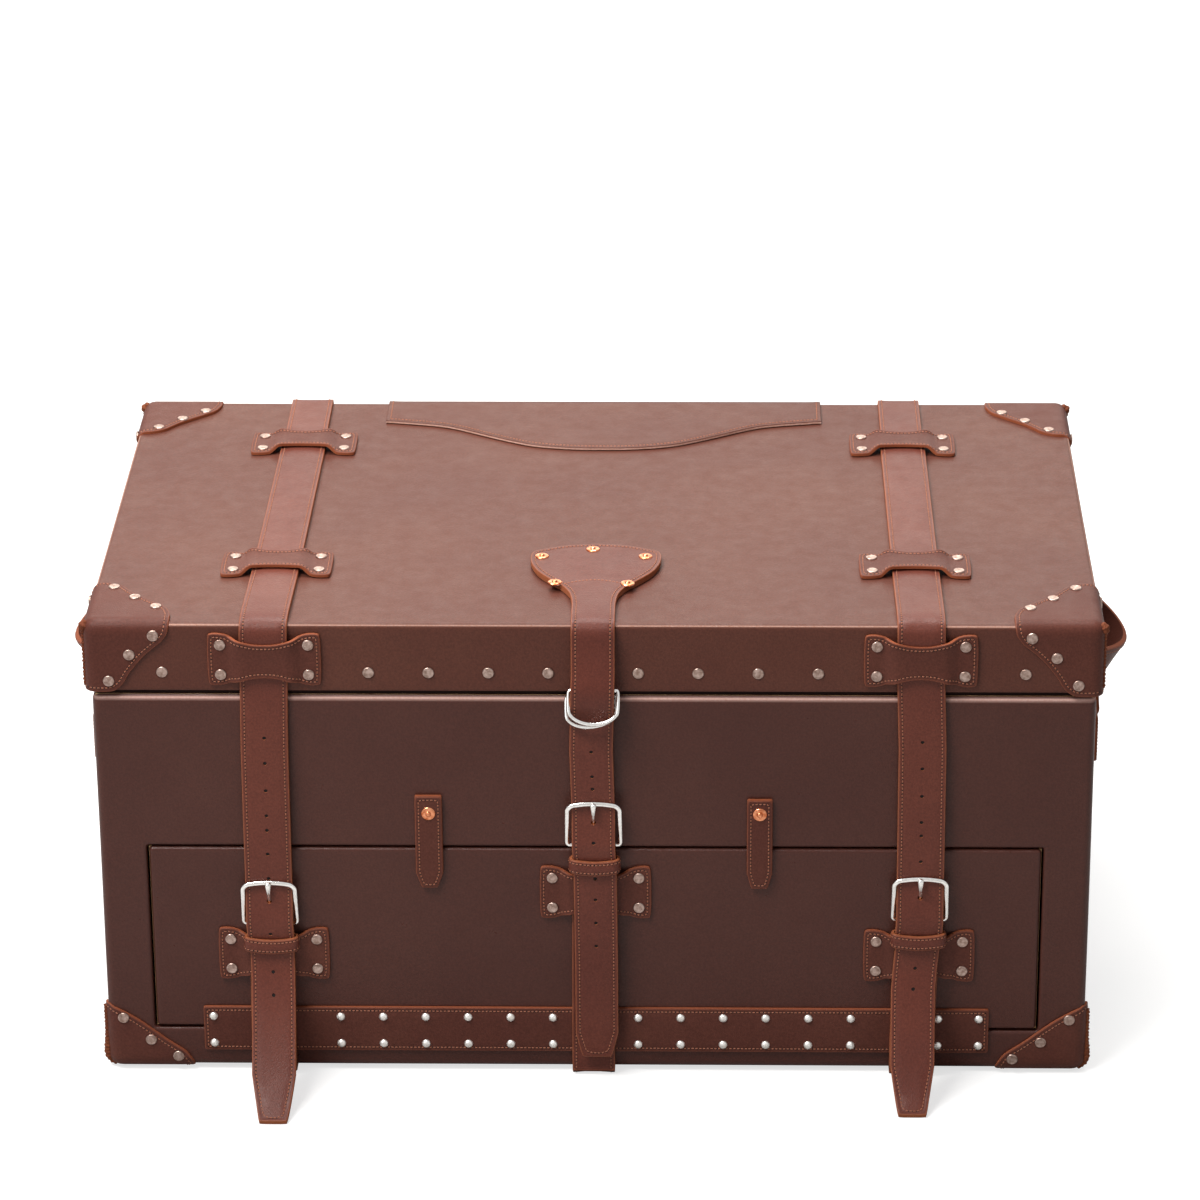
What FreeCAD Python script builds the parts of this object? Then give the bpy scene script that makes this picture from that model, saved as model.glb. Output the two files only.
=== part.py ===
import math
import os

import FreeCAD
import Part

V = FreeCAD.Vector
PARTS = "parts"

# Main sizes of the trunk, in mm
case_len = 874.0
lid_over = 3.0
depth = 526.0
case_h = 367.5
rim_gap = 4.0
lid_h = 63.5

# Boards, leather and linings
board = 12.0
skin = 3.0
lining = 1.5
strap_t = 4.0
chape_t = 2.4
keeper_t = 3.0
loop_t = 2.5
seat = 0.3
case_round = 7.0
lid_round = 12.0
fold_round = 1.2

# Drop panel, shelf and rim
panel_in = 43.5
panel_h = 178.6
panel_foot = 40.6
groove = 2.2
panel_board = 11.5
shelf_t = 10.0
shelf_lap = 5.0
welt_in = 4.0
welt_w = 8.0

# Nailed leather hinge of the panel
strip_in = 42.5
strip_low = 20.0
strip_high = 61.5
nail_row_low = 27.3
nail_row_high = 54.5
nail_in = 9.0
nail_r = 4.0
nail_h = 2.6
nails_in_row = 19

# Leather hinge of the lid
flap_gap = 77.5
flap_end_in = 54.0
flap_mid_in = 122.0
flap_down = 80.0

# Straps
strap_w = 40.5
centre_w = 38.0
strap_in = 152.5
run_gap = 2.0
girth_up = 9.0
hole_r = 1.6
hole_pitch = 24.9
hole_drop = 39.0
slot_w = 4.6
slot_h = 15.0
tip_w = 24.5
under_run = 400.0

# Buckles
wire_r = 2.2
buckle_w = 49.5
buckle_h = 41.0
heel_left = 148.0
heel_right = 154.0
heel_centre = 226.5
heel_out = 6.3
bar_out = 13.2
prong_r = 1.5
prong_w = 4.6
prong_rise = 20.5
fold_low = 5.6
hook_w = 6.6

# Loops below the buckles
loop_drop = 17.5
loop_h_side = 17.0
loop_h_centre = 21.0

# Billets and tails
run_end_side = 116.0
run_end_centre = 66.0
tail_reach_left = 99.0
tail_reach_right = 82.0
tail_taper = 42.0
centre_tip = 18.5
centre_taper = 20.5
run_out_top = 15.2
run_out_ring = 9.6
run_out_mid = 8.9
run_out_loop = 12.6

# Keepers shaped like bow ties
keeper_l = 98.5
keeper_h = 51.0
keeper_waist = 33.0
keeper_rivet_a = 76.5
keeper_rivet_b = 29.2
top_keeper_rear = 152.0
top_keeper_front = -136.0
lid_keeper_rise = 37.1
panel_keeper_side = 115.5
panel_keeper_mid = 177.5

# Shield patch of the centre strap
shield_half = 58.0
shield_top = -97.0
shield_neck = -219.0
shield_t = 5.5

# Ring pair in front of the lid line
ring_half = 21.6
ring_r = 1.8
ring_bar_rises = (1.5, 4.5)
ring_bar_outs = (5.0, 9.0)
ring_low_drops = (26.0, 23.0)
ring_low_outs = (17.0, 21.2)
ring_chape_w = 34.0
ring_chape_drop = 49.5
ring_skive = 1.2
ring_play = 0.9

# Turn tabs
tab_gap = 139.0
tab_w = 24.0
tab_low = 183.0
tab_high = 272.0
tab_pivot = 255.5
tab_t = 4.6
tab_hole = 3.0

# Corner patches
patch_t = 3.0
patch_a = 72.0
patch_b = 63.0
patch_side = 84.0
patch_case_a = 78.0
patch_case_b = 67.0

# Rivets
rivet_r = 5.2
rivet_h = 1.3
burr_r = 6.4
burr_h = 1.8
lid_rivet_rise = 21.9
lid_rivet_in = 65.4

# End handles
band_w = 43.0
band_t = 5.0
band_half = 226.0
band_drop = 58.0
grip_w = 29.0
grip_t = 5.0
grip_half = 62.0
grip_in = 42.0
grip_out = 34.0
grip_tilt = 32.0
grip_lift = 9.0

# Tables of shares, without a unit
lid_rivet_shares = (-0.686, -0.502978, -0.319957, -0.136935, 0.136935, 0.319957, 0.502978, 0.686)
flap_shares = ((1.0, 0.0), (0.93, 0.02), (0.76, 0.12), (0.66, 0.27), (0.54, 0.5), (0.42, 0.74),
               (0.32, 0.89), (0.2, 0.97), (0.08, 1.0), (0.0, 1.0))
tail_shares = ((0.0, 0.02), (0.03, 0.1), (0.1, 0.22), (0.2, 0.36), (0.33, 0.51), (0.48, 0.66),
               (0.64, 0.8), (0.81, 0.92), (0.95, 0.985), (1.0, 1.0))
shield_shares = ((0.0, 0.0), (0.45, 0.03), (0.86, 0.12), (0.97, 0.17), (1.0, 0.28), (0.97, 0.42),
                 (0.84, 0.55), (0.64, 0.68), (0.48, 0.82), (0.38, 0.92), (0.34, 1.0))
patch_shares = ((1.0, 0.0), (0.99, 0.06), (0.95, 0.14), (0.85, 0.24), (0.7, 0.36), (0.55, 0.5),
                (0.46, 0.64), (0.4, 0.78), (0.31, 0.9), (0.2, 0.97), (0.1, 1.0), (0.0, 1.0))
corner_rivet_shares = ((0.82, 0.27), (0.54, 0.46), (0.26, 0.82))
case_rivet_shares = ((0.82, 0.16), (0.53, 0.4), (0.24, 0.74))
burr_shares = ((0.8, 0.23), (-0.8, 0.23), (0.0, 0.1), (0.54, 0.71), (-0.54, 0.71))
grip_shares = (-0.985, -0.94, -0.86, -0.74, -0.58, -0.4, -0.2, 0.0,
               0.2, 0.4, 0.58, 0.74, 0.86, 0.94, 0.985)
slot_share = 0.7
tail_slope_share = 0.8
cap_round_share = 0.6
waist_share = 0.13
flare_share = 0.22
swell_share = 0.8
step_share = 0.05
tab_tip_share = 0.6
ring_leg_share = 0.6

# Positions that follow from the sizes
base_z = strap_t + seat
xc = case_len / 2
xl = xc + lid_over
strap_x = xc - strap_in
tab_x = strap_x - tab_gap
flap_half = strap_x - flap_gap
lid_rivet_x = xl - lid_rivet_in
yf = -depth / 2
yb = depth / 2
top_z = base_z + case_h
lid_z = top_z + rim_gap
lid_top = lid_z + lid_h
floor_top = base_z + skin + board
hinge_y = yb + seat + strap_t
hinge_z = top_z + rim_gap / 2
panel_x = xc - panel_in
half_strip = panel_x - strip_in
nail_span = 2 * (half_strip - nail_in)
panel_z0 = base_z + panel_foot
panel_z1 = panel_z0 + panel_h
open_x = panel_x + groove
open_z0 = panel_z0 - groove
open_z1 = panel_z1 + groove
shelf_z = open_z1 - shelf_lap
fold_z = panel_z0
ring_bars = [top_z + rise for rise in ring_bar_rises]
ring_lows = [top_z - drop for drop in ring_low_drops]


def box(x0, x1, y0, y1, z0, z1):
    return Part.makeBox(x1 - x0, y1 - y0, z1 - z0, V(x0, y0, z0))


def fillet(shape, radius, keep):
    chosen = []
    for edge in shape.Edges:
        if keep(edge):
            chosen.append(edge)
    return shape.makeFillet(radius, chosen)


def upright(edge):
    box_of = edge.BoundBox
    return box_of.ZLength > box_of.XLength + box_of.YLength


def prism(points, plane, low, high):
    corners = []
    for a, b in points:
        if plane == "xy":
            corners.append(V(a, b, low))
        elif plane == "xz":
            corners.append(V(a, low, b))
        else:
            corners.append(V(low, a, b))
    corners.append(corners[0])
    face = Part.Face(Part.makePolygon(corners))
    reach = high - low
    way = {"xy": V(0, 0, reach), "xz": V(0, reach, 0), "yz": V(reach, 0, 0)}[plane]
    return face.extrude(way)


def smooth(points, steps=4):
    out = []
    last = len(points) - 1
    for i in range(last):
        p0 = points[max(i - 1, 0)]
        p1 = points[i]
        p2 = points[i + 1]
        p3 = points[min(i + 2, last)]
        for k in range(steps):
            t = k / steps
            row = []
            for j in (0, 1):
                a = 2 * p1[j]
                b = (p2[j] - p0[j]) * t
                c = (2 * p0[j] - 5 * p1[j] + 4 * p2[j] - p3[j]) * t * t
                d = (3 * p1[j] - p0[j] - 3 * p2[j] + p3[j]) * t * t * t
                row.append((a + b + c + d) / 2)
            out.append(tuple(row))
    out.append(tuple(points[last]))
    return out


def arc(cy, cz, r, a0, a1, steps=8):
    out = []
    for i in range(steps + 1):
        a = math.radians(a0 + (a1 - a0) * i / steps)
        out.append((cy + r * math.cos(a), cz + r * math.sin(a)))
    return out


def offset(path, gap):
    out = []
    for i, p in enumerate(path):
        normals = []
        for j in (i - 1, i):
            if 0 <= j < len(path) - 1:
                dy = path[j + 1][0] - path[j][0]
                dz = path[j + 1][1] - path[j][1]
                size = math.hypot(dy, dz)
                normals.append((-dz / size, dy / size))
        ny = sum(n[0] for n in normals) / len(normals)
        nz = sum(n[1] for n in normals) / len(normals)
        size = ny * ny + nz * nz
        out.append((p[0] + gap * ny / size, p[1] + gap * nz / size))
    return out


def ribbon(path, width, thick, x):
    ring = offset(path, thick / 2) + offset(path, -thick / 2)[::-1]
    return prism(ring, "yz", x - width / 2, x + width / 2)


def fuse(shapes):
    out = shapes[0].multiFuse(shapes[1:]) if len(shapes) > 1 else shapes[0]
    return out.removeSplitter()


def pipe(points, radius, closed=False):
    pieces = []
    count = len(points)
    for i, p in enumerate(points):
        q = points[(i + 1) % count]
        if i < count - 1 or closed:
            way = q - p
            pieces.append(Part.makeCylinder(radius, way.Length, p, way))
        if closed or 0 < i < count - 1:
            pieces.append(Part.makeSphere(radius, p))
    return fuse(pieces)


def place(shape, face, at):
    axes = {
        "front": (V(1, 0, 0), V(0, 0, 1), V(0, -1, 0)),
        "back": (V(-1, 0, 0), V(0, 0, 1), V(0, 1, 0)),
        "top": (V(1, 0, 0), V(0, 1, 0), V(0, 0, 1)),
        "right": (V(0, 0, 1), V(0, -1, 0), V(1, 0, 0)),
        "left": (V(0, 0, 1), V(0, 1, 0), V(-1, 0, 0)),
    }[face]
    m = FreeCAD.Matrix()
    m.A11, m.A21, m.A31 = axes[0]
    m.A12, m.A22, m.A32 = axes[1]
    m.A13, m.A23, m.A33 = axes[2]
    m.A14, m.A24, m.A34 = at
    out = shape.copy()
    out.Placement = FreeCAD.Placement(m)
    return out


def bow_tie(span, lift):
    """Arched keeper: local a along it, b across, c outward."""
    ramp = (keeper_l - span) / 5
    low = []
    steps = 24
    for i in range(steps + 1):
        a = keeper_l * (i / steps - 0.5)
        far = (abs(a) - span / 2 - seat) / ramp
        share = 1.0 if far < 0 else 0.0 if far > 1 else (1 + math.cos(math.pi * far)) / 2
        low.append((a, lift * share))
    high = [(a, c + keeper_t) for a, c in low]
    arch = prism(low + high[::-1], "xz", -keeper_h, keeper_h)
    edge = []
    for i in range(steps + 1):
        a = keeper_l * (i / steps - 0.5)
        far = (abs(a) / keeper_l - waist_share) / flare_share
        share = 0.0 if far < 0 else 1.0 if far > 1 else (1 - math.cos(math.pi * far)) / 2
        edge.append((a, (keeper_waist + (keeper_h - keeper_waist) * share) / 2))
    outline = prism(edge + [(a, -b) for a, b in edge[::-1]], "xy", -keeper_h, keeper_h)
    return arch.common(outline)


def cap(face, at, radius, height):
    disc = Part.makeCylinder(radius, height)
    rim = [e for e in disc.Edges if e.BoundBox.ZMin > height / 2]
    disc = disc.makeFillet(height * cap_round_share, rim)
    return place(disc, face, at)


def dome(face, at, radius, height):
    big = (radius * radius + height * height) / (2 * height)
    low = math.degrees(math.asin((big - height) / big))
    ball = Part.makeSphere(big, V(0, 0, height - big), V(0, 0, 1), low, 90, 360)
    return place(ball, face, at)


def keeper_points(x, b):
    out = []
    for i in (-1, 1):
        for j in (-1, 1):
            out.append((x + i * keeper_rivet_a / 2, b + j * keeper_rivet_b / 2))
    return out


def group(shapes):
    return shapes[0] if len(shapes) == 1 else Part.makeCompound(shapes)


nodes = {}


# Boards of the case
bx = xc - skin
by = depth / 2 - skin
nodes["case_floor"] = box(-bx, bx, -by, by, base_z + skin, floor_top)
nodes["case_back"] = box(-bx, bx, by - board, by, floor_top, top_z)
for name, side in (("left", -1), ("right", 1)):
    x0, x1 = sorted((side * (bx - board), side * bx))
    nodes["case_end_" + name] = box(x0, x1, -by + board, by - board, floor_top, top_z)
front = box(-bx, bx, -by, -by + board, floor_top, top_z)
nodes["case_front"] = front.cut(box(-open_x, open_x, yf, yf + depth / 2, open_z0, open_z1))
nodes["shelf"] = box(-bx + board, bx - board, -by + board, by - board, shelf_z, shelf_z + shelf_t)

# Leather over the case, rim and lining
outer = fillet(box(-xc, xc, yf, yb, base_z, top_z), case_round, upright)
inner = box(-bx, bx, -by, by, base_z + skin, top_z + lid_h)
wrap = outer.cut(inner)
nodes["case_leather"] = wrap.cut(box(-open_x, open_x, yf - skin, yf + 2 * skin, open_z0, open_z1))
wx = xc - welt_in
wy = depth / 2 - welt_in
welt = box(-wx, wx, -wy, wy, top_z, lid_z)
nodes["rim_welt"] = welt.cut(box(-wx + welt_w, wx - welt_w, -wy + welt_w, wy - welt_w, base_z, lid_top))
lx = bx - board
ly = by - board
shelf_top = shelf_z + shelf_t
tray = box(-lx, lx, -ly, ly, shelf_top, top_z)
room = box(-lx + lining, lx - lining, -ly + lining, ly - lining, shelf_top + lining, lid_top)
nodes["case_lining"] = tray.cut(room)

# Lid of boards, leather and lining
def lid_box(inset):
    raw = box(-xl + inset, xl - inset, yf + inset, yb - inset, lid_z, lid_top - inset)
    return fillet(raw, lid_round - inset, lambda e: e.BoundBox.ZMax > lid_z + lid_h / 2)


lid_outer = lid_box(0)
lid_inner = lid_box(skin)
nodes["lid_leather"] = lid_outer.cut(lid_inner)
board_low = lid_top - skin - board
nodes["lid_board"] = lid_inner.common(box(-xl, xl, yf, yb, board_low, lid_top))
cavity_x = xl - skin - board
cavity_y = depth / 2 - skin - board
frame = lid_inner.common(box(-xl, xl, yf, yb, lid_z, board_low))
nodes["lid_frame"] = frame.cut(box(-cavity_x, cavity_x, -cavity_y, cavity_y, base_z, lid_top))
tray = box(-cavity_x, cavity_x, -cavity_y, cavity_y, lid_z, board_low)
rx = cavity_x - lining
ry = cavity_y - lining
nodes["lid_lining"] = tray.cut(box(-rx, rx, -ry, ry, base_z, board_low - lining))

# Leather hinge of the lid
half_t = seat + skin / 2
path = [(yb - flap_mid_in, lid_top + half_t), (yb - lid_round, lid_top + half_t)]
path += arc(yb - lid_round, lid_top - lid_round, lid_round + half_t, 90, 0)[1:]
path += [(yb + half_t, hinge_z + seat)]
sheet = ribbon(path, 2 * flap_half, skin, 0)
right = [(flap_half * a, yb - flap_end_in - (flap_mid_in - flap_end_in) * b) for a, b in flap_shares]
right = smooth(right)
curve = [(a, b) for a, b in right] + [(-a, b) for a, b in right[::-1][1:]]
curve += [(-flap_half, yb + lid_h), (flap_half, yb + lid_h)]
nodes["hinge_flap_lid"] = sheet.common(prism(curve, "xy", base_z, lid_top + lid_h))
nodes["hinge_flap_case"] = box(-flap_half, flap_half, yb, yb + skin, hinge_z - flap_down, hinge_z - seat)

# Panel and its nailed hinge
nodes["panel_board"] = box(-panel_x, panel_x, -by, -by + panel_board, panel_z0, panel_z1)
nodes["panel_leather"] = box(-panel_x, panel_x, yf, -by, panel_z0, panel_z1)
strip_gap = seat
strip_y = yf - skin
strip_z0 = base_z + strip_low
strip_z1 = base_z + strip_high
strips = {"hinge_strip_case": (strip_z0, fold_z - strip_gap), "hinge_strip_panel": (fold_z, strip_z1)}
for name, (low, high) in strips.items():
    nodes[name] = box(-half_strip, half_strip, strip_y, yf, low, high)


def nail_row(up):
    out = []
    for i in range(nails_in_row):
        x = nail_span * (i / (nails_in_row - 1) - 0.5)
        under_side = abs(abs(x) - strap_x) < strap_w / 2 + nail_r
        if not under_side and abs(x) > centre_w / 2 + nail_r:
            out.append(dome("front", V(x, strip_y, base_z + up), nail_r, nail_h))
    return out


nodes["nails_panel"] = group(nail_row(nail_row_high))

# Straps over the lid and girths under the case
mid = seat + strap_t / 2


def over_lid(x, width, rear, out_low):
    path = rear + arc(yf + lid_round, lid_top - lid_round, lid_round + mid, 90, 180)[1:]
    path += [(yf - mid, lid_top - lid_round - lid_h / 4), (yf - out_low, lid_z + 2 * run_gap)]
    path += [(yf - out_low, lid_z + run_gap)]
    return ribbon(path, width, strap_t, x)


rear_path = [(yb + mid, hinge_z + seat), (yb + mid, lid_top - lid_round)]
rear_path += arc(yb - lid_round, lid_top - lid_round, lid_round + mid, 0, 90)[1:]
rear_path += [(yf + lid_round, lid_top + mid)]
girth_path = [(yb + mid, hinge_z - seat), (yb + mid, base_z)]
girth_path += arc(yb, base_z, mid, 0, -90, 6)[1:]
girth_path += arc(yf, base_z, mid, -90, -180, 6)
girth_path += [(yf - mid, base_z + girth_up)]
centre_girth = [(yf + under_run, base_z - mid)] + girth_path[-8:]
left_side = ("left", -strap_x, heel_left, tail_reach_left)
right_side = ("right", strap_x, heel_right, tail_reach_right)
sides = (left_side, right_side)
for name, x, heel, reach in sides:
    nodes["strap_" + name + "_top"] = over_lid(x, strap_w, rear_path, mid)
    nodes["strap_" + name + "_girth"] = ribbon(girth_path, strap_w, strap_t, x)
nodes["strap_centre_girth"] = ribbon(centre_girth, centre_w, strap_t, 0)

# Shield patch running on into the centre strap
neck = [(shield_neck, lid_top + mid), (yf + lid_round, lid_top + mid)]
strap = over_lid(0, centre_w, neck, run_out_top)
right = [(shield_half * a, shield_top + (shield_neck - shield_top) * b) for a, b in shield_shares]
right = smooth(right)
curve = right + [(-a, b) for a, b in right[::-1][:-1]]
shield = prism(curve, "xy", lid_top + seat, lid_top + seat + shield_t)
nodes["strap_centre_top"] = fuse([shield, strap])


# Chapes with the fold for the heel bar, loops, buckles and prongs
def chape(x, heel, width):
    c = seat + chape_t / 2
    raised = c + skin
    low = c + strap_t / 4
    r = wire_r + seat + chape_t / 2
    back = heel_out - r
    z = base_z + heel
    path = [(yf - low, base_z + girth_up + seat), (yf - low, base_z + strip_low - 3 * skin)]
    path += [(yf - raised, base_z + strip_low - skin), (yf - raised, base_z + strip_high + skin / 2)]
    path += [(yf - c, base_z + strip_high + 3 * skin), (yf - c, z - loop_drop / 3)]
    path += [(yf - back, z - wire_r / 2), (yf - back, z)]
    path += arc(yf - heel_out, z, r, 0, 180)[1:]
    path += [(yf - heel_out - r, z - fold_low)]
    band = ribbon(path, width, chape_t, x)
    reach = 2 * r
    out = yf - heel_out - reach
    low = z - wire_r - prong_r - 2 * seat
    return band.cut(box(x - hook_w / 2, x + hook_w / 2, out, yf, low, z + reach))


def loop_ring(x, heel, width, height):
    z = base_z + heel - loop_drop
    low = seat + chape_t + seat + keeper_t + seat
    inner_low = low + loop_t
    inner_high = run_out_loop + strap_t / 2 + 3 * seat
    high = inner_high + loop_t
    half = width / 2 + 2 * seat
    wide = half + loop_t
    outer_ring = box(x - wide, x + wide, yf - high, yf - low, z - height / 2, z + height / 2)
    inside = box(x - half, x + half, yf - inner_high, yf - inner_low, z - height, z + height)
    return outer_ring.cut(inside)


def buckle(x, heel):
    half = buckle_w / 2 - wire_r
    z = base_z + heel
    corners = []
    for i, out, up in ((-half, heel_out, 0), (half, heel_out, 0), (half, bar_out, buckle_h)):
        corners.append(V(x + i, yf - out, z + up))
    corners.append(V(x - half, yf - bar_out, z + buckle_h))
    return pipe(corners, wire_r, True)


def prong(x, heel):
    z = base_z + heel
    heel_y = yf - heel_out
    eye_r = wire_r + seat + prong_r
    eye = Part.makeCylinder(eye_r, prong_w, V(x - prong_w / 2, heel_y, z), V(1, 0, 0))
    hole = Part.makeCylinder(wire_r + seat, 2 * prong_w, V(x - prong_w, heel_y, z), V(1, 0, 0))
    rest = bar_out + wire_r + prong_r + seat
    over = run_out_mid + strap_t / 2 + prong_r + 3 * seat
    points = [V(x, heel_y - wire_r - prong_r, z), V(x, heel_y - prong_r, z + prong_rise / 2)]
    points += [V(x, yf - over - prong_r, z + prong_rise + prong_r)]
    points += [V(x, yf - rest, z + buckle_h + wire_r)]
    return fuse([eye, pipe(points, prong_r)]).cut(hole)


# Billets with their holes
def billet(x, heel, width, low, out_top, ring):
    z = base_z + heel
    path = [(yf - out_top, lid_z + run_gap)]
    if ring:
        path += [(yf - run_out_top, ring_bars[0] - ring_r)]
        path += [(yf - run_out_ring, ring_lows[1] + 3 * ring_r)]
        below = ring_lows[0] - ring_r
        path += [(yf - run_out_ring, below)]
        path += [(yf - run_out_mid, (below + z + buckle_h - wire_r) / 2)]
    else:
        path += [(yf - mid, base_z + case_h - run_gap), (yf - run_out_mid, z + buckle_h + 4 * loop_drop)]
    r = wire_r + seat + chape_t
    over_fold = heel_out + r + mid
    path += [(yf - run_out_mid, z + buckle_h - wire_r), (yf - over_fold - seat, z + wire_r)]
    path += [(yf - over_fold, z - fold_low), (yf - run_out_loop, z - 2 * fold_low)]
    path += [(yf - run_out_loop, base_z + low)]
    band = ribbon(path, width, strap_t, x)
    slot_low = z + prong_rise - slot_h * slot_share
    slot_high = slot_low + slot_h * (1 + slot_share / 3)
    band = band.cut(box(x - slot_w / 2, x + slot_w / 2, yf - width, yf, slot_low, slot_high))
    up = case_h - hole_drop
    while up > low + hole_pitch / 2:
        if abs(up - heel - prong_rise) > slot_h:
            hole = Part.makeCylinder(hole_r, width, V(x, yf, base_z + up), V(0, -1, 0))
            band = band.cut(hole)
        up -= hole_pitch
    return band


def tip(shape, x, width, low, high, plane_y):
    over = high + (high - low) / 8
    for side in (-1, 1):
        wedge = [(x + side * tip_w / 2, low), (x + side * width, low), (x + side * width, over)]
        wedge += [(x + side * (width / 2 + seat), over), (x + side * width / 2, high)]
        shape = shape.cut(prism(wedge, "xz", plane_y - width * 4, plane_y + width))
    return shape


for name, x, heel, reach in sides:
    nodes["chape_" + name] = chape(x, heel, strap_w)
    nodes["loop_" + name] = loop_ring(x, heel, strap_w, loop_h_side)
    nodes["buckle_" + name] = buckle(x, heel)
    nodes["prong_" + name] = prong(x, heel)
    nodes["billet_" + name] = billet(x, heel, strap_w, run_end_side, mid, False)
    start_z = base_z + run_end_side
    drop = start_z - strap_t / 2 - seat
    path = [(yf - run_out_loop - (reach - run_out_loop) * a, start_z - drop * b) for a, b in tail_shares]
    path = [(yf - run_out_loop, start_z)] + smooth(path)
    tail = ribbon(path, strap_w, strap_t, x)
    low_z = -strap_t
    nodes["tail_" + name] = tip(tail, x, strap_w, low_z, tail_taper * tail_slope_share + low_z, yf)
nodes["chape_centre"] = chape(0, heel_centre, centre_w)
nodes["loop_centre"] = loop_ring(0, heel_centre, centre_w, loop_h_centre)
nodes["buckle_centre"] = buckle(0, heel_centre)
nodes["prong_centre"] = prong(0, heel_centre)
nodes["billet_centre"] = billet(0, heel_centre, centre_w, run_end_centre, run_out_top, True)
path = [(yf - run_out_loop, base_z + run_end_centre), (yf - run_out_loop, base_z + centre_tip)]
tail = ribbon(path, centre_w, strap_t, 0)
nodes["tail_centre"] = tip(tail, 0, centre_w, base_z + centre_tip, base_z + centre_tip + centre_taper, yf)

# Ring pair on its own chape
ring_rows = zip(("inner", "outer"), ring_bars, ring_bar_outs, ring_lows, ring_low_outs)
for name, bar_z, bar_y, low_z, low_y in ring_rows:
    bar = V(0, yf - bar_y, bar_z)
    down = V(0, bar_y - low_y, low_z - bar_z)
    drop = down.Length
    down = down.normalize()
    through = V(1, 0, 0).cross(down)
    plates = []
    for grow in (ring_r, -ring_r):
        loop = [(-ring_half - grow, -grow), (ring_half + grow, -grow)]
        steps = 16
        for i in range(steps + 1):
            a = math.pi * i / steps
            leg = drop * ring_leg_share
            bow = drop + grow - leg
            loop.append(((ring_half + grow) * math.cos(a), leg + bow * math.sin(a)))
        at = bar - through * ring_r
        corners = [at + V(u, 0, 0) + down * v for u, v in loop]
        face = Part.Face(Part.makePolygon(corners + [corners[0]]))
        plates.append(face.extrude(through * 2 * ring_r))
    nodes["ring_" + name] = plates[0].cut(plates[1])
thin = ring_skive / 2
in_y, out_y = ring_bar_outs
c_in = in_y - ring_r - ring_play - thin
c_out = out_y + ring_r + ring_play + thin
z_low = ring_bars[0] - ring_r
z_high = ring_bars[1] + ring_r + ring_play + thin
path = [(yf - c_in, top_z - ring_chape_drop), (yf - c_in, z_high - ring_r)]
path += [(yf - c_in - ring_r, z_high), (yf - c_out + ring_r, z_high)]
path += [(yf - c_out, z_high - ring_r), (yf - c_out, z_low)]
nodes["ring_chape"] = ribbon(path, ring_chape_w, ring_skive, 0)

# Keepers
top_tie = bow_tie(strap_w, strap_t + 2 * seat)
low_tie = bow_tie(strap_w, chape_t + 2 * seat)
keepers = []
for x in (-strap_x, strap_x):
    for y in (top_keeper_rear, top_keeper_front):
        keepers.append(place(top_tie, "top", V(x, y, lid_top)))
    keepers.append(place(top_tie, "front", V(x, yf, top_z + lid_keeper_rise)))
nodes["lid_keepers"] = group(keepers)
keepers = []
spots = ((-strap_x, panel_keeper_side), (0, panel_keeper_mid), (strap_x, panel_keeper_side))
for x, up in spots:
    keepers.append(place(low_tie, "front", V(x, yf, base_z + up)))
nodes["panel_keepers"] = group(keepers)


# Corner patches of the lid and of the case
def patch(a, b, shares):
    line = smooth([(a * s, b * t) for s, t in shares])
    return [(-patch_t, -patch_t), (a, -patch_t)] + line + [(-patch_t, b)]


def corner(shell, sx, sy, at, sz, reach):
    x0, y0, z0 = at
    a, b, side = reach
    far = a + b
    fronts = [(x0 - sx * p, z0 + sz * q) for p, q in patch(a, b, patch_shares)]
    front_piece = prism(fronts, "xz", y0 - lid_round, y0 + lid_round)
    tops = [(x0 - sx * p, y0 - sy * q) for p, q in patch(a, side, patch_shares)]
    low, high = sorted((z0 - sz * far, z0 + sz * lid_round))
    top_piece = prism(tops, "xy", low, high)
    ends = [(y0 - sy * p, z0 + sz * q) for p, q in patch(side, b, patch_shares)]
    end_piece = prism(ends, "yz", x0 - lid_round, x0 + lid_round)
    return shell.common(fuse([front_piece, top_piece, end_piece]))


def lid_shell():
    px = xl + patch_t
    big = box(-px, px, yf - patch_t, yb + patch_t, lid_z, lid_top + patch_t)
    big = fillet(big, lid_round + patch_t, lambda e: e.BoundBox.ZMax > lid_z + lid_h / 2)
    return big.cut(lid_outer)


def case_shell():
    px = xc + patch_t
    big = box(-px, px, yf - patch_t, yb + patch_t, base_z - patch_t, top_z - lid_h)
    return fillet(big, case_round + patch_t, upright).cut(outer)


shell = lid_shell()
patches = []
for sx in (-1, 1):
    for sy in (-1, 1):
        at = (sx * xl, sy * yb, lid_top)
        patches.append(corner(shell, sx, sy, at, -1, (patch_a, patch_b, patch_side)))
nodes["lid_corners"] = group(patches)
shell = case_shell()
patches = []
for sx in (-1, 1):
    for sy in (-1, 1):
        at = (sx * xc, sy * yb, base_z)
        patches.append(corner(shell, sx, sy, at, 1, (patch_case_a, patch_case_b, patch_case_b)))
nodes["case_corners"] = group(patches)

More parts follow.
